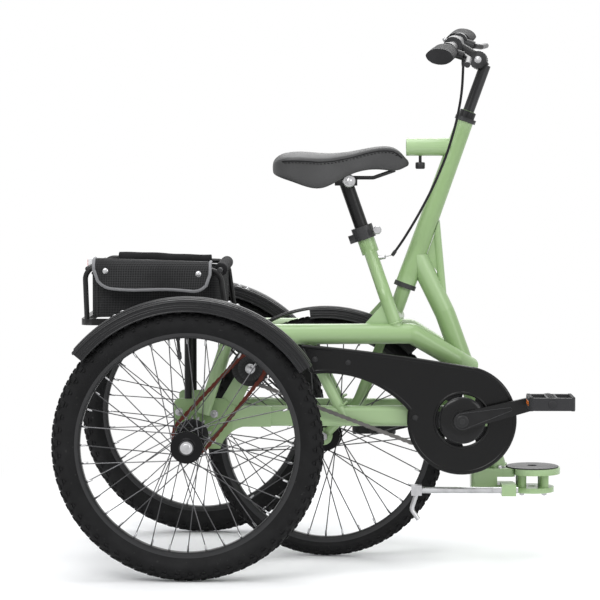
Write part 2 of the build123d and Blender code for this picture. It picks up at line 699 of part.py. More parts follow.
with BuildPart() as chain_guard:
    with BuildSketch(side_plane(-GUARD_Y + GUARD_T)):
        add(guard_outline(0))
        with Locations((CRANK_X, CRANK_Z)):
            Circle(GUARD_HOLE_R, mode=Mode.SUBTRACT)
    extrude(amount=GUARD_T)
    with BuildSketch(side_plane(-GUARD_Y + GUARD_T + GUARD_LIP)):
        add(guard_outline(0))
        add(guard_outline(GUARD_T), mode=Mode.SUBTRACT)
    extrude(amount=GUARD_LIP)
    add(chain_loop(-CHAIN_Y - 2, *DRIVE_ENDS, 12), mode=Mode.SUBTRACT)
    add(bar_y(GUARD_POST_X, RAIL_Z, -GUARD_Y + GUARD_T / 2, -RAIL_Y - RAIL_WIDE / 2, GUARD_POST_R))
save(chain_guard.part.solids().sort_by(SortBy.VOLUME)[-1], "chain_guard")

# Crank: arms on a common spindle, a spider with lightening slots and the chainring behind it
arm_angle = radians(CRANK_ANGLE)
arm_reach = (CRANK_LENGTH * cos(arm_angle), CRANK_LENGTH * sin(arm_angle))
for side, sign in SIDES:
    tip = (CRANK_X - sign * arm_reach[0], CRANK_Z - sign * arm_reach[1])
    near, far = sorted((sign * ARM_Y, sign * (ARM_Y + ARM_T)))
    outer = sign * (ARM_Y + ARM_T)
    with BuildPart() as crank:
        with BuildSketch(side_plane(far)):
            with Locations((CRANK_X, CRANK_Z)):
                Circle(17)
            with Locations(tip):
                Circle(12)
            make_hull()
        extrude(amount=ARM_T)
        add(bar_y(*tip, *sorted((outer, outer + sign * (PEDAL_W - 4))), PEDAL_SPINDLE_R))
        add(bar_y(*tip, *sorted((outer, outer + sign * 3)), 9))
        add(bar_y(CRANK_X, CRANK_Z, *sorted((0, sign * ARM_Y)), SPINDLE_R))
        if side == "right":
            add(bar_y(CRANK_X, CRANK_Z, -ARM_Y, -CHAIN_Y + 4, 22))
            with BuildSketch(side_plane(-GUARD_Y + 1)):
                with Locations((CRANK_X, CRANK_Z)):
                    Circle(43)
                    with PolarLocations(31, 5):
                        SlotOverall(16, 8, rotation=90, mode=Mode.SUBTRACT)
            extrude(amount=3)
    save(crank.part, f"crank_{side}")
with BuildPart() as chainring:
    with BuildSketch(side_plane(-CHAIN_Y + 1.5)):
        with Locations((CRANK_X, CRANK_Z)):
            Circle(RING_PITCH_R - CHAIN_HIGH / 2 - 0.3)
            Circle(22 + RUN, mode=Mode.SUBTRACT)
            with PolarLocations(46, 5):
                Circle(13, mode=Mode.SUBTRACT)
    extrude(amount=3)
save(chainring.part, "chainring")

# Pedals: open platforms on their spindles
for side, sign in SIDES:
    tip_x = CRANK_X - sign * arm_reach[0]
    tip_z = CRANK_Z - sign * arm_reach[1]
    middle = sign * (ARM_Y + ARM_T + 5 + PEDAL_W / 2)
    with BuildPart() as pedal:
        with BuildSketch(Plane(at(tip_x, middle, tip_z - PEDAL_T / 2))):
            RectangleRounded(PEDAL_L, PEDAL_W, 14)
            with GridLocations(PEDAL_L * 0.54, 0, 2, 1):
                RectangleRounded(PEDAL_L * 0.3, PEDAL_W * 0.76, 6, mode=Mode.SUBTRACT)
        extrude(amount=PEDAL_T)
        add(bar_y(tip_x, tip_z, *sorted((middle - sign * PEDAL_W, middle + sign * (PEDAL_W / 2 - 6))),
                  PEDAL_SPINDLE_R + RUN), mode=Mode.SUBTRACT)
    save(pedal.part, f"pedal_{side}")

# Fork: steerer, crown and two legs that sweep back to the hub
crown_at = STEER_ORIGIN - STEER_DIR * CROWN_DROP
crown_x = crown_at.X - AXLE_X
hub_at = (FRONT_HUB_X, FRONT_HUB_Z)
DROPOUT_R = 13
DROPOUT_T = 8
with BuildPart() as fork:
    with BuildSketch(on_steer(-CROWN_DROP)):
        Circle(STEERER_R)
    extrude(amount=CROWN_DROP + HEAD_LENGTH + 22)
    add(bar_y(crown_x, crown_at.Z, -CROWN_HALF, CROWN_HALF, CROWN_R))
    fork_legs = []
    for side, sign in SIDES:
        y = sign * FORK_LEG_Y
        fork_legs.append([at(crown_x, y, crown_at.Z), at(FORK_KNEE[0], y, FORK_KNEE[1]), at(hub_at[0], y, hub_at[1])])
        add(tube(fork_legs[-1], FORK_LEG_D, bend=FORK_BEND))
    add(tube([crown_at, crown_at + STEER_DIR * (CROWN_DROP + HEAD_LENGTH)], 2 * (STEERER_R - FORK_WALL)),
        mode=Mode.SUBTRACT)
    add(bar_y(crown_x, crown_at.Z, -CROWN_HALF - 1, CROWN_HALF + 1, CROWN_R - FORK_WALL), mode=Mode.SUBTRACT)
    for leg in fork_legs:
        add(tube(leg, FORK_LEG_D - 2 * FORK_WALL, bend=FORK_BEND), mode=Mode.SUBTRACT)
    for side, sign in SIDES:
        y = sign * FORK_LEG_Y
        inner, outer = sorted((sign * (FORK_LEG_Y - DROPOUT_T / 2), sign * (FORK_LEG_Y + DROPOUT_T / 2)))
        add(bar_y(*hub_at, inner - 10, outer + 10, DROPOUT_R), mode=Mode.SUBTRACT)
        add(bar_y(*hub_at, inner, outer, DROPOUT_R + 4))
    add(bar_y(*hub_at, -100, 100, FRONT_AXLE_R + RUN), mode=Mode.SUBTRACT)
save(turned(fork.part), "fork")

# Front axle with its nuts
NUT_LOW = FORK_LEG_Y + DROPOUT_T / 2 + 4.4
with BuildPart() as front_axle:
    add(bar_y(*hub_at, -NUT_LOW - 9, NUT_LOW + 9, FRONT_AXLE_R))
    for sign in (-1, 1):
        with BuildSketch(Plane(at(hub_at[0], sign * NUT_LOW, hub_at[1]), z_dir=(0, sign, 0))):
            RegularPolygon(9, 6)
        extrude(amount=7)
save(turned(front_axle.part), "front_axle")


def fender_arc(radius, width, arch, start, end):
    """An arched fender about the Z axis, between two angles from the front."""
    half = width / 2
    with BuildPart(mode=Mode.PRIVATE) as fender:
        with BuildSketch(Plane.XZ):
            with BuildLine():
                ThreePointArc((radius, -half), (radius + arch, 0), (radius, half))
                Line((radius, half), (radius + FENDER_T, half))
                ThreePointArc((radius + FENDER_T, half), (radius + FENDER_T + arch, 0), (radius + FENDER_T, -half))
                Line((radius + FENDER_T, -half), (radius, -half))
            make_face()
        revolve(axis=Axis.Z, revolution_arc=end - start)
    return fender.part.rotate(Axis.Z, start)


# Front fender with its boss under the crown and wire stays to the axle
FRONT_FENDER_W = 52
FRONT_FENDER_R = FRONT_R + FENDER_GAP
FRONT_FENDER_SPAN = (44, 152)
STAY_ANGLE = 138
boss_dir = (crown_at - at(hub_at[0], 0, hub_at[1])).normalized()
boss_foot = at(hub_at[0], 0, hub_at[1]) + boss_dir * (FRONT_FENDER_R + FENDER_T + 2)
arc = fender_arc(FRONT_FENDER_R, FRONT_FENDER_W, 3, *FRONT_FENDER_SPAN)
with BuildPart() as front_fender:
    add(flat_wheel(arc, *front_place))
    add(tube([boss_foot, crown_at - boss_dir * 4], 14))
    for side, sign in SIDES:
        eye_low, eye_high = sorted((sign * (NUT_LOW - 4.2), sign * (NUT_LOW - 0.2)))
        stay_tip = at(
            hub_at[0] + (FRONT_FENDER_R + 1) * cos(radians(STAY_ANGLE)),
            sign * (FRONT_FENDER_W / 2),
            hub_at[1] + (FRONT_FENDER_R + 1) * sin(radians(STAY_ANGLE)),
        )
        add(tube([at(hub_at[0], sign * (NUT_LOW - 2.2), hub_at[1]), stay_tip], 4))
        add(bar_y(*hub_at, eye_low, eye_high, 8))
    add(bar_y(*hub_at, -100, 100, FRONT_AXLE_R + RUN), mode=Mode.SUBTRACT)
    add(fork.part, mode=Mode.SUBTRACT)
save(turned(front_fender.part.solids().sort_by(SortBy.VOLUME)[-1]), "front_fender")

# Stem: quill on the steering axis, pivot joint, and an extension that points back to the bar
BAR_DIR = Vector(0, cos(radians(BAR_TILT)), sin(radians(BAR_TILT)))
bar_at = at(BAR_CENTRE[0], 0, BAR_CENTRE[1])
pivot_at = at(STEM_PIVOT[0], 0, STEM_PIVOT[1])
QUILL_LENGTH = 96
bar_solid = tube([bar_at - BAR_DIR * BAR_HALF, bar_at + BAR_DIR * BAR_HALF], BAR_D)
with BuildPart() as stem:
    with BuildSketch(on_steer(HEAD_LENGTH + 22)):
        Circle(11)
    extrude(amount=QUILL_LENGTH)
    quill_top = STEER_ORIGIN + STEER_DIR * (HEAD_LENGTH + 22 + QUILL_LENGTH - 6)
    add(tube([quill_top, pivot_at], 24))
    add(bar_y(*STEM_PIVOT, -19, 19, 17))
    add(tube([pivot_at, bar_at], 27))
    add(tube([bar_at - BAR_DIR * 22, bar_at + BAR_DIR * 22], BAR_D + 16))
    add(bar_solid, mode=Mode.SUBTRACT)
save(turned(stem.part), "stem")
with BuildPart() as handlebar:
    add(tube([bar_at - BAR_DIR * BAR_HALF, bar_at + BAR_DIR * BAR_HALF], BAR_D, 2.2))
save(turned(handlebar.part), "handlebar")

# Wing grips and brake levers
LEVER_AT = BAR_HALF - GRIP_LENGTH - 18
for side, sign in SIDES:
    out = BAR_DIR * sign
    with BuildPart() as grip:
        with BuildSketch(Plane(bar_at + out * (BAR_HALF - GRIP_LENGTH), x_dir=(1, 0, -0.12), z_dir=out)):
            with BuildLine():
                ThreePointArc((-GRIP_WIDE / 2 - 3, 0), (0, GRIP_HIGH / 2), (GRIP_WIDE / 2 - 3, 0))
                ThreePointArc((GRIP_WIDE / 2 - 3, 0), (0, -GRIP_HIGH / 2), (-GRIP_WIDE / 2 - 3, 0))
            make_face()
        extrude(amount=GRIP_LENGTH + 4)
        fillet(grip.edges().filter_by(GeomType.LINE), 5)
        add(bar_solid, mode=Mode.SUBTRACT)
    save(turned(grip.part), f"grip_{side}")
    clamp_at = bar_at + out * LEVER_AT
    perch = clamp_at + Vector(30, 0, -10)
    with BuildPart() as lever:
        add(tube([clamp_at - out * 8, clamp_at + out * 8], BAR_D + 10))
        add(tube([clamp_at, perch], 17))
        add(tube([perch - out * 6, perch + out * 22 + Vector(12, 0, -4), perch + out * 112 + Vector(16, 0, -8)],
                 11, bend=14))
        add(bar_solid, mode=Mode.SUBTRACT)
    save(turned(lever.part), f"brake_lever_{side}")

# Brake cable: from the right lever in a bow to its stop on the seat tube
CABLE_D = 5
CABLE_POINTS = (
    # place, and how far it follows the lever
    (537, -137, 968.4, 1),
    (534, -130, 905, 0.9),
    (522, -120, 846, 0.75),
    (502, -104, 784, 0.6),
    (474, -82, 724, 0.4),
    (442, -60, 668, 0.2),
    (412, -44, 622, 0.05),
    (391, -35, 594, 0),
)
LEVER_DRAWN_AT = 139
lever_shift = BAR_DIR * (LEVER_DRAWN_AT - LEVER_AT)


def cord_radii(points):
    """Bend radii as large as each pair of runs allows."""
    radii = []
    for before, here, after in zip(points, points[1:], points[2:]):
        turn = radians((here - before).get_angle(after - here))
        shorter = min((here - before).length, (after - here).length)
        radii.append(0.45 * shorter * cos(turn / 2) / sin(turn / 2))
    return radii


cable_points = [at(x, y, z) + lever_shift * share for x, y, z, share in CABLE_POINTS]
print("cable bend radii", [round(radius) for radius in cord_radii(cable_points)])
with BuildPart() as brake_cable:
    with BuildLine() as cable_route:
        FilletPolyline(*cable_points, radius=cord_radii(cable_points))
    with BuildSketch(Plane(cable_route.line @ 0, z_dir=cable_route.line % 0)):
        Circle(CABLE_D / 2)
    sweep()
save(turned(brake_cable.part), "brake_cable")

# Basket frame: base, posts down to the frame, uprights and upper bars; foam on the side bars
base_low = BASKET_LOW - BASKET_BAR_D
middle_x = (BASKET_REAR + BASKET_FRONT) / 2
length = BASKET_FRONT - BASKET_REAR
UPRIGHT_D = 10
BAR_INSET = 8
FENDER_ROD_ANGLES = (118, 72)
fender_arcs = {}
for side, sign in SIDES:
    arc = fender_arc(REAR_FENDER_R, REAR_FENDER_W, 4, 33, 141)
    fender_arcs[side] = flat_wheel(arc, 0, sign * TRACK / 2, REAR_R)
with BuildPart() as basket_frame:
    with BuildSketch(Plane(at(middle_x, 0, base_low))):
        RectangleRounded(length, 2 * BASKET_HALF, 24)
        RectangleRounded(length - 2 * BASKET_BAR_D, 2 * (BASKET_HALF - BASKET_BAR_D), 14, mode=Mode.SUBTRACT)
        for x in (UPPER_REAR[0] - 4, -10):
            with Locations((x - middle_x, 0)):
                Rectangle(BASKET_BAR_D, 2 * BASKET_HALF - 4)
    extrude(amount=BASKET_BAR_D)
    for side, sign in SIDES:
        y = sign * (BASKET_HALF - BAR_INSET)
        add(tube([at(-10, sign * (PLATE_Y + PLATE_T / 2), PLATE_TOP),
                  at(-10, sign * (PLATE_Y + PLATE_T / 2), base_low + 2)], 15))
        add(tube([at(UPPER_REAR[0], sign * 130, UPPER_Z), at(UPPER_REAR[0], sign * 130, base_low + 2)], 15))
        rear_x = BASKET_REAR + BAR_INSET
        front_x = BASKET_FRONT - BAR_INSET
        add(tube([at(rear_x + 4, y, base_low + 4), at(rear_x, y, BASKET_TOP), at(front_x - 14, y, BASKET_TOP - 8),
                  at(front_x, y, base_low + 4)], UPRIGHT_D, bend=24))
        for angle in FENDER_ROD_ANGLES:
            rod_x = (REAR_FENDER_R + 1) * cos(radians(angle))
            rod_z = REAR_R + (REAR_FENDER_R + 2) * sin(radians(angle))
            add(tube([at(rod_x, sign * (BASKET_HALF - 4), base_low + 6),
                      at(rod_x, sign * (TRACK / 2 - REAR_FENDER_W / 2 - 6), rod_z),
                      at(rod_x, sign * (TRACK / 2 - REAR_FENDER_W / 2 + 4), rod_z)], 8, bend=12))
    bar_z = BASKET_TOP
    for x, z in ((rear_x, BASKET_TOP), (front_x - 14, BASKET_TOP - 8)):
        reach = BASKET_HALF - BAR_INSET
        add(bar_y(x, z, -reach, reach, UPRIGHT_D / 2 - 0.4))
    add(cross_solid, mode=Mode.SUBTRACT)
    for side, sign in SIDES:
        add(fender_arcs[side], mode=Mode.SUBTRACT)
save(basket_frame.part.solids().sort_by(SortBy.VOLUME)[-1], "basket_frame")
for side, sign in SIDES:
    save(fender_arcs[side], f"rear_fender_{side}")
with BuildPart() as foam:
    for side, sign in SIDES:
        y = sign * (BASKET_HALF - BAR_INSET)
        bar_rear = at(rear_x, y, BASKET_TOP)
        bar_front = at(front_x - 14, y, BASKET_TOP - 8)
        along = (bar_front - bar_rear).normalized()
        add(tube([bar_rear + along * 34, bar_front - along * 34], FOAM_D))
    for side, sign in SIDES:
        y = sign * (BASKET_HALF - BAR_INSET)
        add(tube([at(rear_x, y, BASKET_TOP), at(front_x - 14, y, BASKET_TOP - 8)], UPRIGHT_D + 2 * SEAT_GAP),
            mode=Mode.SUBTRACT)
save(foam.part, "basket_foam")

# Basket bag, open at the top, and the flap folded over its right side
BAG_HALF = BASKET_HALF - BAR_INSET - FOAM_D / 2 - 1
with BuildPart() as basket:
    with BuildSketch(Plane(at(middle_x, 0, BASKET_LOW + SEAT_GAP))):
        RectangleRounded(length - 34, 2 * BAG_HALF, 20)
    extrude(amount=BASKET_TOP - 14 - BASKET_LOW)
    top = basket.faces().sort_by(Axis.Z)[-1]
    offset(amount=-BASKET_T, openings=top)
save(basket.part, "basket")
FLAP_Y = BASKET_HALF - BAR_INSET + FOAM_D / 2 + SEAT_GAP
FLAP_T = 3
FLAP_DROP = 78
FLAP_REAR = -178
FLAP_FRONT = 34
with BuildPart() as basket_flap:
    with BuildSketch(Plane(at(FLAP_REAR, -FLAP_Y, BASKET_TOP), x_dir=(0, 1, 0), z_dir=(1, 0, 0))):
        top_z = FOAM_D / 2 + SEAT_GAP
        with BuildLine():
            Polyline((-FLAP_T, -FLAP_DROP), (0, -FLAP_DROP), (0, 0))
            ThreePointArc((0, 0), (top_z * 0.29, top_z * 0.71), (top_z, top_z))
            Polyline((top_z, top_z), (top_z + 22, top_z), (top_z + 22, top_z + FLAP_T), (top_z, top_z + FLAP_T))
            ThreePointArc((top_z, top_z + FLAP_T), (top_z * 0.29 - 2, top_z * 0.71 + 2), (-FLAP_T, 0))
            Line((-FLAP_T, 0), (-FLAP_T, -FLAP_DROP))
        make_face()
    extrude(amount=FLAP_FRONT - FLAP_REAR)
save(basket_flap.part, "basket_flap")
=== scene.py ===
"""Looks of the rehabilitation tricycle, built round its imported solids."""
import json
import math

import bmesh
import bpy
from mathutils import Matrix, Vector


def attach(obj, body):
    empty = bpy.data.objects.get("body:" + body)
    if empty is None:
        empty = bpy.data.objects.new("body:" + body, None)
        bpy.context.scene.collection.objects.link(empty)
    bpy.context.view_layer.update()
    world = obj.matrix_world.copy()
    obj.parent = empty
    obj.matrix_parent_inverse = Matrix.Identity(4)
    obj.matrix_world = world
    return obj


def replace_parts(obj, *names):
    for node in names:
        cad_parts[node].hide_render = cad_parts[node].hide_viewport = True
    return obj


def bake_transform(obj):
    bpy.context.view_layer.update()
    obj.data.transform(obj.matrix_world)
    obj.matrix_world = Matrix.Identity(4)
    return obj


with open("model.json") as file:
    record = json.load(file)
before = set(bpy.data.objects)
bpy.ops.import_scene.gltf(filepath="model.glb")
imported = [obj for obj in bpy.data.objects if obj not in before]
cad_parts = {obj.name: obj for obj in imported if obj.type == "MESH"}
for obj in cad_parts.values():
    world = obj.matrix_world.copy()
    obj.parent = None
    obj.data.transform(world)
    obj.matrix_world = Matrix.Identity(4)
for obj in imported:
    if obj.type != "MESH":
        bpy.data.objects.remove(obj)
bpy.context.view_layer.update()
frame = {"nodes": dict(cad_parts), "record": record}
NODES = frame["nodes"]
scene = bpy.context.scene

# Places are in millimetres ahead of the rear axle, to the left and above the floor.
# Lathe profiles (radius, distance along the axis), rods, bolts and bevels are in metres.
AXLE_X = -237.33
STEER_LOW = Vector((414.5, 0, 540))
STEER_TOP = Vector((529, 0, 857))
REST_TURN = math.radians(-8)
REAR_R = 254
FRONT_R = 238
TRACK_HALF = 310
FRONT_HUB = Vector((257, 0, 237.9))
CRANK = (520, 280)
GEAR = (112, 384)
SIDES = (("right", -1), ("left", 1))
TURN = 2 * math.pi
RIGHT, LEFT, UP, DOWN = (0, -1, 0), (0, 1, 0), (0, 0, 1), (0, 0, -1)


def at(x, y, z):
    """A point in the frame's metres."""
    return Vector((x + AXLE_X, y, z)) / 1000


STEER_DIR = (STEER_TOP - STEER_LOW).normalized()
STEER_PIVOT = at(*STEER_LOW)
STEER_TURN = (
    Matrix.Translation(STEER_PIVOT)
    @ Matrix.Rotation(REST_TURN, 4, STEER_DIR)
    @ Matrix.Translation(-STEER_PIVOT)
)

# Camera fitted to the photograph, light and floor
IMAGE_WIDTH = 600
FOCAL_PIXELS = 2580.6
SENSOR_WIDTH = 36
CAMERA_PLACE = (0.0197, -5.08, 0.8085)
CAMERA_DOWN = 3.405
CAMERA_LEFT = 0.577
WORLD_COLOR = (0.92, 0.95, 1.0, 1)
WORLD_STRENGTH = 0.46
WHITE = (1, 1, 1, 1)
FLOOR_REACH = 12
FLOOR_DROP = 0.0006
FLOOR_FADE = (0.55, 1.5)
FLOOR_COLOR = (0.97, 0.97, 0.97, 1)
LIGHTS = (
    # name, place, aim, size, power
    ("key", (-1.6, -3.2, 3.4), (0, 0, 0.4), (2.6, 2.2), 104),
    ("fill", (2.8, -2.6, 1.8), (0, 0, 0.5), (2.0, 2.0), 34),
    ("back", (0.4, 3.2, 3.0), (0, 0, 0.5), (3.0, 2.0), 62),
    ("top", (0, 0, 3.6), (0, 0, 0), (2.6, 2.6), 72),
)


def make_camera():
    data = bpy.data.cameras.new("camera")
    camera = bpy.data.objects.new("camera", data)
    scene.collection.objects.link(camera)
    data.sensor_fit = "HORIZONTAL"
    data.sensor_width = SENSOR_WIDTH
    data.lens = SENSOR_WIDTH * FOCAL_PIXELS / IMAGE_WIDTH
    data.clip_end = 50
    camera.location = CAMERA_PLACE
    camera.rotation_euler = (math.radians(90 - CAMERA_DOWN), 0, math.radians(CAMERA_LEFT))
    scene.camera = camera


def area_light(name, place, aim, size, power):
    data = bpy.data.lights.new(name, "AREA")
    data.shape = "RECTANGLE"
    data.size, data.size_y = size
    data.energy = power
    light = bpy.data.objects.new(name, data)
    light.location = place
    light.rotation_euler = (Vector(aim) - Vector(place)).to_track_quat("-Z", "Y").to_euler()
    scene.collection.objects.link(light)


def add_node(tree, kind, values=(), **settings):
    """A node with its settings, and its inputs set or linked by place or by name."""
    node = tree.nodes.new(f"ShaderNode{kind}")
    for name, value in settings.items():
        setattr(node, name, value)
    for key, value in values.items() if isinstance(values, dict) else enumerate(values):
        if isinstance(value, bpy.types.NodeSocket):
            tree.links.new(value, node.inputs[key])
        else:
            node.inputs[key].default_value = value
    return node.outputs


def pale_for_eye(tree, lit, bright, share=None):
    """Mix in a plain bright surface for the camera, for reflections and through glass."""
    rays = add_node(tree, "LightPath")
    amount = rays["Is Camera Ray"]
    for ray in ("Is Glossy Ray", "Is Transmission Ray"):
        amount = add_node(tree, "Math", (amount, rays[ray]), operation="MAXIMUM")[0]
    if share:
        amount = add_node(tree, "Math", (amount, share), operation="MULTIPLY")[0]
    return add_node(tree, "MixShader", (amount, lit, bright))[0]


def make_world():
    world = bpy.data.worlds.new("studio")
    world.use_nodes = True
    tree = world.node_tree
    soft = tree.nodes["Background"]
    soft.inputs["Color"].default_value = WORLD_COLOR
    soft.inputs["Strength"].default_value = WORLD_STRENGTH
    white = add_node(tree, "Background", {"Color": WHITE, "Strength": 1})[0]
    seen = pale_for_eye(tree, soft.outputs[0], white)
    tree.links.new(seen, tree.nodes["World Output"].inputs[0])
    scene.world = world


def make_floor():
    """A pale floor that keeps the shadow and fades to white away from the object."""
    mesh = bpy.data.meshes.new("floor")
    far = FLOOR_REACH
    corners = [(-far, -far, 0), (far, -far, 0), (far, far, 0), (-far, far, 0)]
    mesh.from_pydata(corners, [], [(0, 1, 2, 3)])
    floor = bpy.data.objects.new("floor", mesh)
    floor.location.z = -FLOOR_DROP
    scene.collection.objects.link(floor)
    material = bpy.data.materials.new("floor")
    material.use_nodes = True
    tree = material.node_tree
    shader = tree.nodes["Principled BSDF"]
    shader.inputs["Base Color"].default_value = FLOOR_COLOR
    shader.inputs["Roughness"].default_value = 0.75
    shader.inputs["Specular IOR Level"].default_value = 0.15
    white = add_node(tree, "Emission", {"Color": WHITE})[0]
    place = add_node(tree, "NewGeometry")["Position"]
    away = add_node(tree, "VectorMath", (place,), operation="LENGTH")["Value"]
    start, full = FLOOR_FADE
    fade = add_node(tree, "MapRange", {"Value": away, "From Min": start, "From Max": full},
                    interpolation_type="SMOOTHSTEP")[0]
    seen = pale_for_eye(tree, shader.outputs[0], white, fade)
    tree.links.new(seen, tree.nodes["Material Output"].inputs["Surface"])
    mesh.materials.append(material)


scene.view_settings.view_transform = "Standard"
make_camera()
make_world()
make_floor()
for light in LIGHTS:
    area_light(*light)

# Materials
# painted highlight: pointiness range that marks the convex edges which get a lighter colour
EDGE_HIGHLIGHT_POINTINESS = (0.53, 0.62)
HUB_EDGE = (0.0302, 0.0306)


class Look:
    """A node material under construction."""

    def __init__(self, name, color, rough, metal=0.0):
        self.material = bpy.data.materials.new(name)
        self.material.use_nodes = True
        self.tree = self.material.node_tree
        self.shader = self.tree.nodes["Principled BSDF"].inputs
        self.shader["Roughness"].default_value = rough
        self.shader["Metallic"].default_value = metal
        self.coords = self.node("TexCoord")["Object"]
        self.color = (*color, 1)
        self.normal = None

    def node(self, kind, values=(), **settings):
        return add_node(self.tree, kind, values, **settings)

    def noise(self, scale, detail=3.0, stretch=None):
        vector = self.coords
        if stretch:
            vector = self.node("Mapping", {"Vector": vector, "Scale": stretch})[0]
        return self.node("TexNoise", {"Vector": vector, "Scale": scale, "Detail": detail})[0]

    def ramp(self, value, low, high):
        return self.node("MapRange", {"Value": value, "From Min": low, "From Max": high})[0]

    def math(self, operation, *values):
        return self.node("Math", values, operation=operation)[0]

    def tint(self, amount, color):
        """Blend another colour in where amount is one."""
        values = {"Factor": amount, "A": self.color, "B": (*color, 1)}
        self.color = self.node("Mix", values, data_type="RGBA")["Result"]

    def vary(self, scale, low, high, color, detail=3.0):
        """Cloudy patches of another colour."""
        self.tint(self.ramp(self.noise(scale, detail), low, high), color)

    def rough(self, scale, low, high):
        """Uneven gloss between two roughness values."""
        values = {"Value": self.noise(scale), "To Min": low, "To Max": high}
        self.tree.links.new(self.node("MapRange", values)[0], self.shader["Roughness"])

    def bump(self, height, strength, distance):
        values = {"Height": height, "Strength": strength, "Distance": distance}
        if self.normal:
            values["Normal"] = self.normal
        self.normal = self.node("Bump", values)[0]

    def edges(self, color, amount):
        """Painted highlight: a lighter colour on convex edges, found by the mesh's pointiness."""
        convex = self.ramp(self.node("NewGeometry")["Pointiness"], *EDGE_HIGHLIGHT_POINTINESS)
        self.tint(self.math("MULTIPLY", convex, amount), color)

    def specular(self, level):
        self.shader["Specular IOR Level"].default_value = level

    def done(self):
        self.tree.links.new(self.color, self.shader["Base Color"])
        self.tree.links.new(self.normal, self.shader["Normal"])
        return self.material


def scaled(color, factor):
    return tuple(min(c * factor, 1) for c in color)


def paint(name, color, shade, light):
    look = Look(name, color, 0.36)
    look.vary(9, 0.35, 0.75, shade)
    # painted highlight: the lighter green on convex edges
    look.edges(light, 0.6)
    look.rough(24, 0.27, 0.45)
    look.bump(look.noise(900, 2), 0.06, 0.0006)
    look.shader["Coat Weight"].default_value = 0.35
    look.shader["Coat Roughness"].default_value = 0.16
    return look.done()


def metal(name, color, rough):
    look = Look(name, color, rough, 1.0)
    look.vary(60, 0.45, 0.8, scaled(color, 0.7), 4)
    look.rough(90, max(rough - 0.1, 0.12), rough + 0.14)
    look.bump(look.noise(120, 2, (1, 40, 1)), 0.05, 0.0004)
    return look.done()


def black_metal(name, color, rough):
    look = Look(name, color, rough)
    look.vary(30, 0.5, 0.8, scaled(color, 1.6))
    # painted highlight: lighter grey on convex edges
    look.edges((0.07, 0.07, 0.072), 0.5)
    look.rough(60, rough - 0.1, rough + 0.1)
    look.bump(look.noise(700, 2), 0.07, 0.0005)
    look.specular(0.26)
    return look.done()


def plastic(name, color, rough, grain=600):
    look = Look(name, color, rough)
    look.vary(14, 0.45, 0.8, scaled(color, 1.4))
    # painted highlight: a lighter copy of the colour on convex edges
    look.edges(scaled(color, 2.2), 0.4)
    look.rough(40, rough - 0.08, rough + 0.1)
    look.bump(look.noise(grain, 2), 0.12, 0.0005)
    look.specular(0.24)
    return look.done()


def rubber(name, color, rough):
    look = Look(name, color, rough)
    look.vary(22, 0.4, 0.75, scaled(color, 1.7))
    look.vary(140, 0.66, 0.9, (0.05, 0.049, 0.047), 4)
    look.rough(60, rough - 0.1, rough + 0.08)
    look.bump(look.noise(420, 4), 0.2, 0.0006)
    look.specular(0.16)
    return look.done()


def leather(name, color):
    look = Look(name, color, 0.55)
    look.vary(16, 0.4, 0.75, scaled(color, 1.45))
    cells = look.node("TexVoronoi", {"Vector": look.coords, "Scale": 620})["Distance"]
    look.bump(cells, 0.22, 0.0005)
    look.bump(look.noise(40), 0.1, 0.001)
    look.rough(30, 0.44, 0.64)
    return look.done()


def weave(name, color, light, pitch):
    """Open mesh cloth: crossing threads, with painted shade in the holes."""
    look = Look(name, color, 0.85)

    def thread(value):
        wave = look.math("SINE", look.math("MULTIPLY", value, math.pi / pitch))
        return look.math("ABSOLUTE", wave)

    x, y, z = look.node("SeparateXYZ", (look.coords,))
    grid = look.math("MAXIMUM", thread(look.math("ADD", x, y)), thread(z))
    # threads get the lighter colour, their grey lifted to stand in for light seen through the mesh; the
    # holes keep the dark base colour as painted shade of the bag's inside
    look.tint(look.ramp(grid, 0.86, 1.0), light)
    look.vary(11, 0.5, 0.8, scaled(color, 1.5))
    look.bump(grid, 0.45, 0.0006)
    look.specular(0.1)
    return look.done()


GREEN = (0.255, 0.385, 0.168)
LOOKS = {
    # frame_paint's last colour is the painted highlight on its convex edges
    "frame_paint": paint("frame_paint", GREEN, (0.235, 0.36, 0.15), (0.36, 0.50, 0.27)),
    "tyre": rubber("tyre", (0.007, 0.007, 0.0073), 0.72),
    "rim": black_metal("rim", (0.010, 0.010, 0.0105), 0.34),
    "steel": metal("steel", (0.52, 0.52, 0.53), 0.3),
    "black_metal": black_metal("black_metal", (0.007, 0.007, 0.0073), 0.36),
    "chain": metal("chain", (0.15, 0.145, 0.14), 0.4),
    "rust_chain": metal("rust_chain", (0.115, 0.036, 0.028), 0.46),
    "guard": plastic("guard", (0.0022, 0.0022, 0.0023), 0.2, 900),
    "fender": plastic("fender", (0.012, 0.012, 0.0127), 0.3, 800),
    "grip": rubber("grip", (0.013, 0.013, 0.0135), 0.68),
    "saddle": leather("saddle", (0.034, 0.034, 0.0345)),
    # basket: the first colour is painted shade in the mesh's holes, the second the threads' grey, lifted
    # as painted light seen through the mesh
    "basket": weave("basket", (0.012, 0.012, 0.0122), (0.062, 0.062, 0.063), 0.0032),
    "edging": plastic("edging", (0.16, 0.16, 0.165), 0.6, 1400),
    "foam": rubber("foam", (0.010, 0.010, 0.0105), 0.88),
    "cable": rubber("cable", (0.012, 0.012, 0.0125), 0.45),
    "pedal_black": plastic("pedal_black", (0.016, 0.016, 0.017), 0.5),
    "orange": plastic("orange", (0.62, 0.13, 0.01), 0.18, 300),
    "gloss_black": black_metal("gloss_black", (0.004, 0.004, 0.0042), 0.16),
    "red": plastic("red", (0.42, 0.012, 0.012), 0.18, 300),
    "pale": plastic("pale", (0.62, 0.62, 0.62), 0.3, 300),
}
# Slots and nodes whose look has another name than their slot
SLOT_LOOK = {"plate_paint": "frame_paint", "fork_paint": "frame_paint",
             "coupling_paint": "frame_paint", "black_alloy": "black_metal"}
NODE_LOOK = {"seat_post": "black_metal", "hub_gear": "black_metal", "saddle_rails": "black_metal",
             "rear_axle": "black_metal", "pedal_right": "pedal_black"}


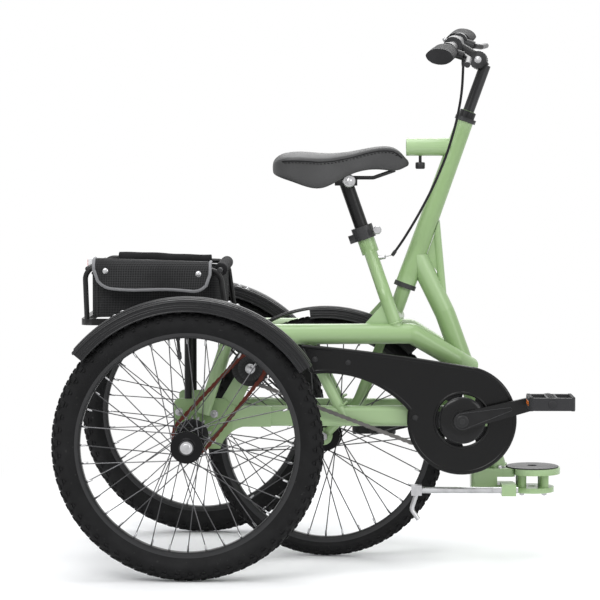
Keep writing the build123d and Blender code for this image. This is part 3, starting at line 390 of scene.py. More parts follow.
def hub_look(name, place, axis):
    """Black near the axle, grey on the spokes further out."""
    look = Look(name, (0.012, 0.012, 0.0125), 0.32, 0.9)

    def vector(operation, *values):
        return look.node("VectorMath", values, operation=operation)

    offset = vector("SUBTRACT", look.coords, place)[0]
    from_axle = vector("LENGTH", vector("CROSS_PRODUCT", offset, axis)[0])["Value"]
    look.tint(look.ramp(from_axle, *HUB_EDGE), (0.075, 0.075, 0.078))
    look.rough(50, 0.26, 0.42)
    look.bump(look.noise(300, 2), 0.05, 0.0004)
    return look.done()


def dress_cad():
    """Every solid that stays gets its own procedural finish."""
    slots = {row["node"]: row["material_slot"] for row in frame["record"]["subparts"]}
    for name, node in NODES.items():
        slot = slots[name]
        if name == "front_hub":
            axis = STEER_TURN.to_3x3() @ Vector(LEFT)
            look = hub_look(f"look_{name}", STEER_TURN @ at(*FRONT_HUB), axis)
        elif slot == "spoke":
            look = hub_look(f"look_{name}", at(0, 0, REAR_R), LEFT)
        else:
            look = LOOKS[NODE_LOOK.get(name) or SLOT_LOOK.get(slot, slot)]
        node.data.materials.clear()
        node.data.materials.append(look)


dress_cad()


# Mesh helpers
def even(first, last, steps):
    """Evenly spaced values, with both ends."""
    return [first + (last - first) * n / steps for n in range(steps + 1)]


def polar(centre, radius, angle):
    """A place in a plane, at an angle round a centre."""
    return centre[0] + radius * math.cos(angle), centre[1] + radius * math.sin(angle)


def on_wheel(x, y, z, radius, angle, side=0.0):
    """A point on an upright wheel, at an angle from the front."""
    return at(x + radius * math.cos(angle), y + side, z + radius * math.sin(angle))


def ring(centre, side, other, radius, count):
    """Points on a circle spanned by two directions."""
    angles = [TURN * n / count for n in range(count)]
    return [centre + (side * math.cos(a) + other * math.sin(a)) * radius for a in angles]


class Shape:
    """Vertices and faces gathered from many small forms."""

    def __init__(self):
        self.verts = []
        self.faces = []

    def add(self, verts, faces):
        start = len(self.verts)
        self.verts.extend(verts)
        self.faces.extend([tuple(i + start for i in face) for face in faces])

    def grid(self, rows, close_u=False, close_v=False):
        """A sheet through rows of points; u runs along the rows' list, v within one row."""
        wide = len(rows[0])
        verts = [p for row in rows for p in row]
        faces = []
        for i in range(len(rows) if close_u else len(rows) - 1):
            for j in range(wide if close_v else wide - 1):
                k, m = (i + 1) % len(rows), (j + 1) % wide
                faces.append((i * wide + j, i * wide + m, k * wide + m, k * wide + j))
        self.add(verts, faces)

    def closed(self, rows):
        """A tube through closed rings of points, with both ends capped."""
        start, count = len(self.verts), len(rows[0])
        self.grid(rows, close_v=True)
        last = start + (len(rows) - 1) * count
        self.faces.append(tuple(start + n for n in reversed(range(count))))
        self.faces.append(tuple(last + n for n in range(count)))

    def slab(self, outline, near, far):
        """An upright plate between two distances to the left, from places along and up."""
        wide = len(outline)
        faces = [tuple(range(wide)), tuple(reversed(range(wide, 2 * wide)))]
        for k in range(wide):
            m = (k + 1) % wide
            faces.append((k, k + wide, m + wide, m))
        self.add([at(x, y, z) for y in (near, far) for x, z in outline], faces)

    def lathe(self, profile, origin, axis, turns=24):
        """A turned form, closed by its end points."""
        axis = Vector(axis).normalized()
        side = axis.orthogonal().normalized()
        other = axis.cross(side)
        self.closed([ring(origin + axis * along, side, other, r, turns) for r, along in profile])

    def bolt(self, place, axis, radius, height, sides=6):
        """A hex or round head on a washer, with a chamfered top and a small boss."""
        washer, boss = radius * 1.35, radius * 0.55
        self.lathe([(washer, -0.0002), (washer, 0.0010), (washer * 0.96, 0.0013)], place, axis, 20)
        self.lathe([(radius, 0.0012), (radius, height - 0.0006), (radius * 0.86, height)],
                   place, axis, sides)
        self.lathe([(boss, height - 0.001), (boss, height + 0.0005), (radius * 0.4, height + 0.0009)],
                   place, axis, 12)

    def box(self, low, high, bevel):
        """A block with rounded edges, in the frame's axes."""
        size, mid = high - low, (low + high) / 2
        mesh = bmesh.new()
        bmesh.ops.create_cube(mesh, size=1)
        for v in mesh.verts:
            v.co = [c * s + m for c, s, m in zip(v.co, size, mid)]
        bmesh.ops.bevel(mesh, geom=mesh.edges[:], offset=bevel, segments=2, affect="EDGES", profile=0.5)
        mesh.verts.index_update()
        self.add([v.co.copy() for v in mesh.verts], [[v.index for v in f.verts] for f in mesh.faces])
        mesh.free()

    def rod(self, points, radius, sides=10):
        """A round rod along points."""
        rows = []
        side = None
        for i, point in enumerate(points):
            ahead = (points[min(i + 1, len(points) - 1)] - points[max(i - 1, 0)]).normalized()
            if side is None:
                side = ahead.orthogonal().normalized()
            else:
                side = (side - ahead * side.dot(ahead)).normalized()
            rows.append(ring(point, side, ahead.cross(side), radius, sides))
        self.closed(rows)

    def make(self, name, look, body="frame", slot=None, smooth=True, turn=False):
        """One piece that rides on a body, with its look as its material; the slot argument is not used.
        """
        mesh = bpy.data.meshes.new(name)
        mesh.from_pydata([tuple(v) for v in self.verts], [], self.faces)
        mesh.validate()
        facing = bmesh.new()
        facing.from_mesh(mesh)
        bmesh.ops.recalc_face_normals(facing, faces=facing.faces)
        facing.to_mesh(mesh)
        facing.free()
        if turn:
            mesh.transform(STEER_TURN)
        mesh.materials.append(LOOKS[look])
        mesh.polygons.foreach_set("use_smooth", [smooth] * len(mesh.polygons))
        obj = bpy.data.objects.new(name, mesh)
        scene.collection.objects.link(obj)
        if body:
            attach(obj, body)
        return obj


def soften(obj, angle=40):
    """Smooth shading that keeps edges sharper than an angle."""
    obj.data.set_sharp_from_angle(angle=math.radians(angle))
    return obj


# Tyres with a tread of blocks
KNOB = 2.6
BEAD_R = 208
BEAD_HALF = 11.5
TYRE_STEPS = 144
TYRE_ROWS = 11
ROW_ANGLE = 10.4
RIB_ROW = 9
RIB_LIFT = 0.8
TREAD = (
    # from and to across the tyre in degrees, from and to along it in pitches, skew in pitches
    (2, 17, 0.04, 0.40, 0.10), (-17, -2, 0.54, 0.90, -0.10),
    (21, 39, 0.40, 0.84, 0.14), (-39, -21, 0.90, 1.34, -0.14),
    (44, 62, 0.02, 0.50, 0.0), (-62, -44, 0.52, 1.0, 0.0),
    (66, 76, 0.12, 0.34, 0.0), (-76, -66, 0.62, 0.84, 0.0),
)
# Height over the casing and share of the outline, at a block's foot, shoulder and top
BLOCK_LEVELS = ((-0.8, 1.0), (KNOB - 0.5, 0.9), (KNOB, 0.74))
BLOCK_FACES = [(8, 9, 10, 11)]
for k in range(4):
    m = (k + 1) % 4
    BLOCK_FACES += [(k, m, m + 4, k + 4), (k + 4, m + 4, m + 8, k + 8)]


def make_tyre(name, node, body, centre, radius, width, blocks, turn):
    half = width / 2

    def point(theta, phi, lift):
        reach = half - KNOB + lift
        return on_wheel(*centre, radius - half + reach * math.cos(phi), theta, reach * math.sin(phi))

    shape = Shape()
    rows = []
    for i in range(TYRE_STEPS):
        theta = TURN * i / TYRE_STEPS
        row = [on_wheel(*centre, BEAD_R, theta, -BEAD_HALF)]
        for j in range(-TYRE_ROWS, TYRE_ROWS + 1):
            lift = RIB_LIFT if abs(j) == RIB_ROW else 0
            row.append(point(theta, math.radians(j * ROW_ANGLE), lift))
        row.append(on_wheel(*centre, BEAD_R, theta, BEAD_HALF))
        rows.append(row)
    shape.grid(rows, close_u=True)
    pitch = TURN / blocks
    for n in range(blocks):
        for low, high, start, end, skew in TREAD:
            corners = ((start, low), (end, low), (end + skew, high), (start + skew, high))
            mid_t, mid_p = (sum(values) / 4 for values in zip(*corners))
            verts = []
            for lift, share in BLOCK_LEVELS:
                for t, p in corners:
                    along = n + mid_t + (t - mid_t) * share
                    across = mid_p + (p - mid_p) * share
                    verts.append(point(along * pitch, math.radians(across), lift))
            shape.add(verts, BLOCK_FACES)
    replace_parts(soften(shape.make(name, "tyre", body, turn=turn), 34), node)


WHEELS = (
    # name, node of the tyre, body, centre, radius, tyre's width, tread blocks round it, steered
    ("rear_right", "rear_tyre_right", "rear_axle_right",
     (0, -TRACK_HALF, REAR_R), REAR_R, 50, 62, False),
    ("rear_left", "rear_tyre_left", "rear_left",
     (0, TRACK_HALF, REAR_R), REAR_R, 50, 62, False),
    ("front", "front_tyre", "front_wheel", tuple(FRONT_HUB), FRONT_R, 36, 66, True),
)
for name, *wheel in WHEELS:
    make_tyre(f"tyre_{name}", *wheel)

# Spoke nipples, valves and axle nuts
NIPPLES = 36
NIPPLE_SIDE = 3
NIPPLE_ENDS = (200.4, 188)
NIPPLE = ((0.0019, 0), (0.0021, 0.004), (0.0016, 0.0105), (0.0011, 0.0122))
VALVE_ANGLE = math.radians(95)
VALVE_ENDS = (200.5, 160)
VALVE = ((0.0042, 0), (0.0042, 0.004), (0.003, 0.005), (0.003, 0.026), (0.0042, 0.027),
         (0.0042, 0.038), (0.002, 0.0405))
for name, _, body, centre, *_, turn in WHEELS:
    nipples = Shape()
    for n in range(NIPPLES):
        side = NIPPLE_SIDE if n % 2 else -NIPPLE_SIDE
        outer, inner = (on_wheel(*centre, r, TURN * n / NIPPLES, side) for r in NIPPLE_ENDS)
        nipples.lathe(NIPPLE, outer, inner - outer, 8)
    nipples.make(f"nipples_{name}", "steel", body, "spoke", turn=turn)
    valve = Shape()
    foot, tip = (on_wheel(*centre, r, VALVE_ANGLE) for r in VALVE_ENDS)
    valve.lathe(VALVE, foot, tip - foot, 12)
    valve.make(f"valve_{name}", "black_metal", body, "rim", turn=turn)
AXLE_END = 357.6
AXLE_WASHER = ((0.0125, -0.0052), (0.0125, -0.0012), (0.0115, 0.0))
AXLE_NUT = ((0.0085, -0.0036), (0.0085, 0.0), (0.0072, 0.0010))
for side, sign in SIDES:
    cap = Shape()
    face = at(0, sign * AXLE_END, REAR_R)
    cap.lathe(AXLE_WASHER, face, (0, sign, 0), 24)
    cap.lathe(AXLE_NUT, face, (0, sign, 0), 6)
    soften(cap.make(f"axle_nut_{side}", "steel", "rear_axle_right"))

# Saddle: crowned padding with deep skirts round a hollow underside
SADDLE = (
    # along X, half width, top, skirt edge, fall of the sides
    (152, 44, 778, 756, 7),
    (160, 64, 789, 749, 9),
    (174, 79, 797, 742, 12),
    (194, 85, 800, 735, 14),
    (218, 83, 800, 724, 15),
    (246, 74, 797, 718, 14),
    (272, 58, 796, 731, 11),
    (304, 41, 799, 752, 8),
    (336, 32, 806, 763, 6),
    (362, 27, 810, 764, 5),
    (386, 24, 810, 760, 5),
    (402, 21, 800, 762, 4),
    (412, 16, 787, 768, 4),
    (420, 10, 780, 771, 3),
)
SADDLE_RING = 40
SADDLE_UNDER = 761
PADDING_LEAST = 12
GROOVE_DEEP = 5.5
GROOVE_HALF = 0.16
GROOVE_SPAN = (180, 380)
GROOVE_END = 0.2


def saddle_ring(x, half, top, skirt, fall):
    """One closed section: crowned top, skirt, hollow underside and the other skirt."""
    shoulder = top - fall
    deep = shoulder - skirt
    edge = half * 0.985 + 0.5
    groove = GROOVE_DEEP * (1 if GROOVE_SPAN[0] < x < GROOVE_SPAN[1] else GROOVE_END)
    points = []
    for n in range(SADDLE_RING):
        t = n / SADDLE_RING
        s = (t - 0.5) * 2
        if t < 0.5:
            u = 1 - 4 * t
            y = math.copysign(half * abs(u) ** 0.86, u)
            z = top - fall * abs(u) ** 2.2 - groove * math.exp(-(u / GROOVE_HALF) ** 2)
        elif s < 0.25:
            y, z = -edge, shoulder - deep * s / 0.25
        elif s > 0.75:
            y, z = edge, skirt + deep * (s - 0.75) / 0.25
        else:
            v = 4 * (s - 0.25) - 1
            lift = min(deep - PADDING_LEAST, SADDLE_UNDER - skirt) * (1 - abs(v) ** 6)
            y, z = half * v * 0.93, skirt + max(lift, 0)
        points.append(at(x, y, z))
    return points


def saddle_at(x):
    """The saddle's half width and shoulder height at a place along it."""
    for low, high in zip(SADDLE, SADDLE[1:]):
        if low[0] <= x <= high[0]:
            k = (x - low[0]) / (high[0] - low[0])
            half, top, _, fall = (a + (b - a) * k for a, b in zip(low[1:], high[1:]))
            return half, top - fall


padding = Shape()
padding.closed([saddle_ring(*row) for row in SADDLE])
saddle = padding.make("saddle_padding", "saddle")
smooth = saddle.modifiers.new("smooth", "SUBSURF")
smooth.levels = smooth.render_levels = 2
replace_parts(saddle, "saddle")

SEAM_DROP = 5
STITCH_DROP = 8.6
STITCH_HALF = 1.9
seams = Shape()
for sign in (-1, 1):
    line = []
    for x in range(172, 407, 9):
        half, shoulder = saddle_at(x)
        line.append(at(x, sign * (half + 0.6), shoulder - SEAM_DROP))
    seams.rod(line, 0.0013, 6)
    for x in range(178, 396, 7):
        half, shoulder = saddle_at(x)
        ends = (x - STITCH_HALF, x + STITCH_HALF)
        seams.rod([at(end, sign * (half + 1.0), shoulder - STITCH_DROP) for end in ends], 0.0007, 5)
seams.make("saddle_seams", "grip", slot="saddle")
YOKE = (302, 741)
YOKE_DISC = ((0.0125, -0.004), (0.0125, 0.0018), (0.0108, 0.0034))
yoke = Shape()
for sign in (-1, 1):
    yoke.lathe(YOKE_DISC, at(YOKE[0], sign * 31, YOKE[1]), (0, sign, 0), 32)
    yoke.bolt(at(YOKE[0], sign * 34.2, YOKE[1]), (0, sign, 0), 0.0058, 0.0042, 16)
soften(yoke.make("saddle_clamp_bolts", "steel"))

# Foam sleeves on the basket's side bars
BASKET_HALF = 197
BAR_REAR = (-200, 582)
BAR_FRONT = (56, 574)
FOAM_INSET = 0.034
foam = Shape()
for sign in (-1, 1):
    first, last = (at(x, sign * BASKET_HALF, z) for x, z in (BAR_REAR, BAR_FRONT))
    ahead = (last - first).normalized()
    length = (last - first).length - 2 * FOAM_INSET
    profile = [(0.0105, -0.001)]
    for t in even(0, 1, 24):
        swell = 0.0127 + 0.0004 * math.sin(t * 19) - 0.0007 * math.cos(t * 7 + sign)
        profile.append((swell, t * length))
    profile.append((0.0105, length + 0.001))
    foam.lathe(profile, first + ahead * FOAM_INSET, ahead, 28)
foam_piece = foam.make("basket_foam_sleeves", "foam")
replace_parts(foam_piece, "basket_foam")

# Basket bag: sagging mesh walls with a hem round the top
BAG_X = (-191, 61)
BAG_Y = 183
BAG_LOW = 483
BAG_TOP = 567
BAG_CORNER = 22
BAG_STEP = 18
BAG_LEVELS = 8
BAG_SAG = 5.5
RIM_SAG = 1.2
BAG_FLOOR = [0.02, 0.15, 0.3, 0.45, 0.6, 0.75, 0.88, 0.96]


def bag_outline(inset, z, sag):
    """A rounded rectangle whose sides pull in between the corners."""
    x0, x1 = BAG_X[0] + inset + BAG_CORNER, BAG_X[1] - inset - BAG_CORNER
    y1 = BAG_Y - inset - BAG_CORNER
    points = []
    for centre, start in (((x1, y1), 0), ((x0, y1), 90), ((x0, -y1), 180), ((x1, -y1), 270)):
        points += [polar(centre, BAG_CORNER, math.radians(start + n * 18)) for n in range(6)]
    dense = []
    for p, q in zip(points, points[1:] + points[:1]):
        gap = math.dist(p, q)
        parts = max(1, round(gap / BAG_STEP))
        for k in range(parts):
            t = k / parts
            x, y = p[0] + (q[0] - p[0]) * t, p[1] + (q[1] - p[1]) * t
            dip = sag * math.sin(math.pi * t) if gap > 2 * BAG_STEP else 0
            if abs(q[0] - p[0]) > abs(q[1] - p[1]):
                y -= dip * (1 if y > 0 else -1)
            else:
                x -= dip * (1 if x > (x0 + x1) / 2 else -1)
            dense.append(at(x, y, z + 0.6 * math.sin(x * 0.11 + y * 0.07)))
    return dense


def bag_wall(inset, low, high):
    """Rings of one face of the walls, from its lower to its upper edge."""
    return [bag_outline(inset, low + (high - low) * t, BAG_SAG * math.sin(math.pi * t) + RIM_SAG)
            for t in even(0, 1, BAG_LEVELS)]


def floor_rings(edge, shares):
    """Rings across the bag's floor, which flatten towards its middle."""
    middle = sum(edge, Vector()) / len(edge)
    rings = []
    for share in shares:
        level = [middle + (p - middle) * share for p in edge]
        rings.append([Vector((p.x, p.y, middle.z + (q.z - middle.z) * share ** 3))
                      for p, q in zip(level, edge)])
    return rings


outside = bag_wall(2, BAG_LOW + 1, BAG_TOP - 1)
inside = bag_wall(4.6, BAG_LOW + 3.6, BAG_TOP - 1)[::-1]
bag = Shape()
bag.closed(floor_rings(outside[0], BAG_FLOOR) + outside
           + inside + floor_rings(inside[-1], BAG_FLOOR[::-1]))
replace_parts(soften(bag.make("basket_bag", "basket"), 50), "basket")
hem = Shape()
loop = bag_outline(2.6, BAG_TOP, RIM_SAG)
hem.rod(loop + loop[:2], 0.0028, 8)
hem.make("basket_hem", "grip", slot="basket")

# Flap: cloth folded over the right side bar, with a bound edge and two studs
FLAP_X = (-182, 38)
FLAP_R = 14.6
FLAP_INSIDE = 24
FLAP_DROP = 40
FLAP_CORNER = 34
FLAP_FOLD = (0.18, 0.38)
FLAP_LONG = FLAP_X[1] - FLAP_X[0]


def flap_point(u, v):
    """u along the bar, v along the cloth from inside over the bar and down outside."""
    x = FLAP_X[0] + FLAP_LONG * u
    share = (x - BAR_REAR[0]) / (BAR_FRONT[0] - BAR_REAR[0])
    bar = BAR_REAR[1] + (BAR_FRONT[1] - BAR_REAR[1]) * share
    flat, bent = FLAP_FOLD
    if v < flat:
        y, z = FLAP_INSIDE * (1 - v / flat), FLAP_R
    elif v < bent:
        y, z = polar((0, 0), FLAP_R, math.radians(90 + 90 * (v - flat) / (bent - flat)))
    else:
        k = (v - bent) / (1 - bent)
        wave = 1.7 * math.sin(u * 11 + 1) * k + 1.2 * math.sin(u * 5) * k
        end = min(u, 1 - u) * FLAP_LONG / FLAP_CORNER
        drop = FLAP_DROP
        if end < 1:
            drop -= FLAP_CORNER * (1 - math.sqrt(1 - (1 - end) ** 2))
        y = -FLAP_R - 0.4 - 1.2 * k + 0.6 * wave
        z = -drop * k + 1.6 * math.sin(u * 9 + 2) * k
    return at(x, y - BASKET_HALF, bar + z)


flap = Shape()
flap.grid([[flap_point(u, v) for v in even(0, 1, 30)] for u in even(0, 1, 40)])
flap_piece = flap.make("basket_flap_cloth", "basket")
thick = flap_piece.modifiers.new("thick", "SOLIDIFY")
thick.thickness = 0.0016
thick.offset = 0
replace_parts(flap_piece, "basket_flap")
bound = Shape()
edge = [flap_point(0, v) for v in even(0, 1, 24)]
edge += [flap_point(u, 1) for u in even(0, 1, 30)[1:]]
edge += [flap_point(1, v) for v in even(1, 0, 24)[1:]]
bound.rod(edge, 0.0031, 8)
bound.make("flap_binding", "edging", slot="basket")
STUD = ((0.0055, -0.001), (0.0055, 0.0012), (0.0045, 0.0022), (0.0015, 0.0026))
studs = Shape()
for u in (0.1, 0.9):
    studs.lathe(STUD, flap_point(u, 0.5), RIGHT, 20)
soften(studs.make("flap_studs", "steel"))

# Rear cross bar between the basket's side bars, and a foam sleeve on the front one
REAR_BAR = (-195, 577)
SLEEVE_LONG = 0.320
bar = Shape()
bar.rod([at(REAR_BAR[0], sign * BASKET_HALF, REAR_BAR[1]) for sign in (-1, 1)], 0.0046, 16)
bar.make("basket_rear_bar", "black_metal")
profile = [(0.0122 + 0.0004 * math.sin(n * 0.9), 0.001 + (SLEEVE_LONG - 0.002) * n / 24)
           for n in range(25)]
sleeve = Shape()
profile = [(0.0095, 0), *profile, (0.0095, SLEEVE_LONG)]
sleeve.lathe(profile, at(BAR_FRONT[0], -160, BAR_FRONT[1]), LEFT, 28)
sleeve_piece = sleeve.make("front_bar_sleeve", "foam")

# Rear reflector on the basket's rear bar: a case and a lens of small tiles
reflector = Shape()
reflector.box(at(-209, -36, 566), at(-198.4, 36, 590), 0.002)
soften(reflector.make("reflector_case", "pale", slot="foam"))
lens = Shape()
for n in range(9):
    for m in range(3):
        y, z = -32 + n * 7.2, 568.6 + m * 6.4
        lens.box(at(-210.2, y, z), at(-208.6, y + 6.8, z + 6), 0.0006)
lens.make("reflector_lens", "red", slot="foam", smooth=False)

# Wing grips with ribs and a flange at the inner end
BAR_AT = Vector((507, 0, 1006))
BAR_TILT = math.radians(9)
BAR_DIR = Vector((0, math.cos(BAR_TILT), math.sin(BAR_TILT)))
GRIP_START = 156.4
GRIP_LONG = 132
GRIP_WIDE = 26
GRIP_HIGH = 14.8
GRIP_RING = 36
GRIP_ACROSS = Vector((1, 0, -0.12)).normalized()
GRIP_UP = Vector((0.12, 0, 1)).normalized()


def grip_ring(centre, swell, rib):
    """A flat oval section, wider behind the bar than ahead of it."""
    points = []
    for k in range(GRIP_RING):
        c, s = polar((0, 0), 1, TURN * k / GRIP_RING)
        x = math.copysign(GRIP_WIDE * swell * abs(c) ** 0.9, c) - 3
        z = math.copysign((GRIP_HIGH + rib) * abs(s) ** 1.25, s)
        points.append(at(*(centre + GRIP_ACROSS * x + GRIP_UP * z)))
    return points


for side, sign in SIDES:
    rows = []
    for t in even(0, 1, 48):
        swell = 0.97 if t < 0.04 else 0.86 + 0.14 * min(1, t * 2.2)
        rib = 0.5 if math.sin(t * 150) > 0.2 and 0.12 < t < 0.86 else 0
        rows.append(grip_ring(BAR_AT + BAR_DIR * sign * (GRIP_START + GRIP_LONG * t), swell, rib))
    grip = Shape()
    grip.closed(rows)
    obj = soften(grip.make(f"wing_grip_{side}", "grip", "steering", turn=True), 50)
    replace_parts(obj, f"grip_{side}")

# Chains: plates, pins and rollers along each loop
CHAIN_PITCH = 12.7
DRIVE_Y = -98
AXLE_DRIVE_Y = -147
ARC_STEPS = 60
LINK_R = 4.1
LINK_WAIST = 2.9
LINK_SIDE = (2.0, 2.9)
PLATE_HALF = 0.45
PIN_HALF = 3.4
ROLLER_HALF = 1.5
PIN = ((0.0019, 0), (0.0019, 0.0068))
ROLLER = ((0.0038, 0), (0.0038, 0.003))


def chain_path(first, first_r, second, second_r):
    """Points one pitch apart along the loop round two pitch circles."""
    heading = math.atan2(second[1] - first[1], second[0] - first[0])
    spread = math.acos((first_r - second_r) / math.dist(first, second))
    arcs = ((first, first_r, heading + spread, TURN - 2 * spread),
            (second, second_r, heading - spread, 2 * spread))
    outline = []
    for centre, radius, start, sweep in arcs:
        outline += [polar(centre, radius, a) for a in even(start, start + sweep, ARC_STEPS)]
    lengths = [0]
    for p, q in zip(outline, outline[1:] + outline[:1]):
        lengths.append(lengths[-1] + math.dist(p, q))
    count = 2 * round(lengths[-1] / CHAIN_PITCH / 2)
    points = []
    k = 0
    for n in range(count):
        s = lengths[-1] * n / count
        while lengths[k + 1] < s:
            k += 1
        p, q = outline[k], outline[(k + 1) % len(outline)]
        t = (s - lengths[k]) / (lengths[k + 1] - lengths[k])
        points.append((p[0] + (q[0] - p[0]) * t, p[1] + (q[1] - p[1]) * t))
    return points


def make_chain(name, node, y, ends, look):
    shape = Shape()
    path = chain_path(*ends)
    for n, (p, q) in enumerate(zip(path, path[1:] + path[:1])):
        ahead = math.atan2(q[1] - p[1], q[0] - p[0])
        mid = ((p[0] + q[0]) / 2, (p[1] + q[1]) / 2)
        outline = []
        for end, turn in ((q, -90), (p, 90)):
            outline += [polar(end, LINK_R, ahead + math.radians(turn + k * 30)) for k in range(7)]
            outline.append(polar(mid, LINK_WAIST, ahead - math.radians(turn)))
        for sign in (-1, 1):
            plate_y = y + sign * LINK_SIDE[n % 2]
            shape.slab(outline, plate_y - PLATE_HALF, plate_y + PLATE_HALF)
        shape.lathe(PIN, at(p[0], y - PIN_HALF, p[1]), LEFT, 10)
        shape.lathe(ROLLER, at(p[0], y - ROLLER_HALF, p[1]), LEFT, 10)
    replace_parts(soften(shape.make(name, look)), node)


def teeth(name, centre, y, root, count, tip, look, body, slot):
    """Sprocket teeth standing between the chain's rollers."""
    shape = Shape()
    flank = [(0.30, root - 2.5), (0.16, root + tip * 0.6), (0.06, root + tip)]
    tooth = [(-share, r) for share, r in flank] + flank[::-1]
    for n in range(count):
        outline = [polar(centre, r, TURN * (n + 0.5 + share) / count) for share, r in tooth]
        shape.slab(outline, y - 0.9, y + 0.9)
    soften(shape.make(name, look, body, slot))


REAR_HUB = (0, REAR_R)
make_chain("chain_links", "drive_chain", DRIVE_Y, (CRANK, 76.9, GEAR, 28.5), "chain")
make_chain("axle_chain_links", "axle_chain", AXLE_DRIVE_Y, (REAR_HUB, 36.6, GEAR, 28.5), "rust_chain")
teeth("chainring_teeth", CRANK, DRIVE_Y, 72.3, 38, 6.5, "black_metal", "crank", "black_alloy")
teeth("axle_sprocket_teeth", REAR_HUB, AXLE_DRIVE_Y, 32.0, 18, 6.0, "steel", "rear_axle_right", "steel")

# Fenders: deep side skirts, rolled edges, a raised middle band and bolts
FENDER_STEPS = 60
SKIRT_SHARES = even(0, 1, 7)
SKIRT_FLARE = 1.6
BAND_HALF = 0.46
BAND_RISE = (-0.6, *[1.5] * 7, -0.6)
RIDGES = ((0.12, 0.0022), (0.46, 0.0012), (0.66, 0.0012), (1.0, 0.0020))  # share of the skirt, wire


def fender_trim(name, centre, radius, width, arch, span, skirt, body="frame", turn=False):
    """Trim over a fender's span of angles; the skirt is its depth and last angle."""
    shape = Shape()
    half = width / 2
    first, last, skirt_last = (math.radians(a) for a in (*span, skirt[1]))
    angles = even(first, last, FENDER_STEPS)
    skirt_angles = even(first, skirt_last, FENDER_STEPS)

    def crown(a, side, lift):
        return on_wheel(*centre, radius + 2 + arch * (1 - (side / half) ** 2) + lift, a, side)

    def on_skirt(a, share, inset, sign):
        side = half - inset + SKIRT_FLARE * math.sin(math.pi * share / 2)
        return on_wheel(*centre, radius + 1.6 - skirt[0] * share, a, sign * side)

    for sign in (-1, 1):
        shape.rod([crown(a, sign * (half - 1.2), -0.4) for a in angles], 0.0012, 8)
        for share, wire in RIDGES:
            shape.rod([on_skirt(a, share, 1.8, sign) for a in skirt_angles], wire, 8)
        shape.closed([[on_skirt(a, share, 1.4, sign) for share in SKIRT_SHARES]
                      + [on_skirt(a, share, 2.9, sign) for share in SKIRT_SHARES[::-1]]
                      for a in skirt_angles])
    sides = even(-BAND_HALF * half, BAND_HALF * half, 8)
    shape.grid([[crown(a, side, rise) for side, rise in zip(sides, BAND_RISE)]
                for a in even(first + 0.02, last - 0.02, FENDER_STEPS)])
    for share in (-0.72, 0.72):
        shape.rod([crown(a, share * half, 0.2) for a in angles], 0.0009, 6)
    soften(shape.make(name, "fender", body, turn=turn), 45)


for side, sign in SIDES:
    fender_trim(f"fender_trim_{side}", (0, sign * TRACK_HALF, REAR_R), 270, 60, 4,
                (33.3, 140.7), (20, 140.7))
fender_trim("front_fender_trim", tuple(FRONT_HUB), 250, 52, 3, (44.3, 151.7), (18, 97), "steering", True)
rivets = Shape()
for sign in (-1, 1):
    for angle in (118, 72):
        for shift in (-0.03, 0.03):
            foot = on_wheel(0, sign * TRACK_HALF, REAR_R, 273.6, math.radians(angle) + shift, -sign * 21)
            rivets.bolt(foot, foot - at(0, foot.y * 1000, REAR_R), 0.0042, 0.004)
soften(rivets.make("fender_bolts", "steel"))

# Chain guard: a rounded edge, a lip round its hole and screws
GUARD_TOP = ((-310, 142), (-125, 121), (20, 98))
GUARD_LOW = ((-98, 20), (-168, 74), (-288, 94))
GUARD_R = 101
GUARD_Y = -107.8
HOLE_LIP = ((56, -111.9), (55, -113.2), (53.4, -113.6), (51.6, -113.2), (50.4, -112), (50.4, -110))
cx, cz = CRANK


def arc_points(places, count):
    """Points on the circle through three places round the crank, from the first to the last."""
    a, b, c = ((cx + x, cz + z) for x, z in places)
    (ax, ay), (bx, by), (gx, gy) = a, b, c
    aa, bb, gg = (x * x + y * y for x, y in (a, b, c))
    d = 2 * (ax * (by - gy) + bx * (gy - ay) + gx * (ay - by))
    centre = ((aa * (by - gy) + bb * (gy - ay) + gg * (ay - by)) / d,
              (aa * (gx - bx) + bb * (ax - gx) + gg * (bx - ax)) / d)
    start, *rest = (math.atan2(y - centre[1], x - centre[0]) for x, y in (a, b, c))
    mid, end = ((angle - start + math.pi) % TURN - math.pi for angle in rest)
    if mid * end < 0:
        end += math.copysign(TURN, mid)
    return [polar(centre, math.dist(a, centre), angle) for angle in even(start, start + end, count)]


top_arc, low_arc = arc_points(GUARD_TOP, 40), arc_points(GUARD_LOW, 30)
disc = [polar(CRANK, GUARD_R, math.radians(a)) for a in range(78, -191, -4)]
bead = Shape()
bead.rod([at(x, GUARD_Y, z) for x, z in top_arc + disc + low_arc + top_arc[:1]], 0.0052, 14)
bead.grid([[on_wheel(cx, y, cz, r, a) for r, y in HOLE_LIP] for a in even(0, TURN, 72)])
soften(bead.make("guard_trim", "guard"), 50)
screws = Shape()
for x, z in ((430, 285), (300, 392), (236, 398)):
    screws.bolt(at(x, -112.2, z), RIGHT, 0.0042, 0.003, 16)
soften(screws.make("guard_screws", "black_metal"))

# Crank: dust caps, a domed cover and a bead round the arm's face
ARM_ANGLE = math.radians(14.4)
ARM_LONG = 170
ARM_FACE = 133
EYE_R = 15.5
DUST_CAP = ((0.0118, -0.001), (0.0118, 0.0012), (0.010, 0.0022))
CAP_HEX = ((0.0056, 0.001), (0.0056, 0.0029), (0.0045, 0.0032))
SPINDLE_END = ((0.0075, -0.0004), (0.0075, 0.0002), (0.0065, 0.0014))
DOME = ((0.045, 0.0), (0.0455, 0.0012), (0.044, 0.0030), (0.040, 0.0048), (0.034, 0.0060),
        (0.027, 0.0066), (0.020, 0.0068))
caps = Shape()
for sign in (-1, 1):
    hub = at(cx, sign * ARM_FACE, cz)
    caps.lathe(DUST_CAP, hub, (0, sign, 0), 24)
    caps.lathe(CAP_HEX, hub, (0, sign, 0), 6)
    x, z = polar(CRANK, -sign * ARM_LONG, ARM_ANGLE)
    caps.lathe(SPINDLE_END, at(x, sign * 120.8, z), (0, -sign, 0), 20)
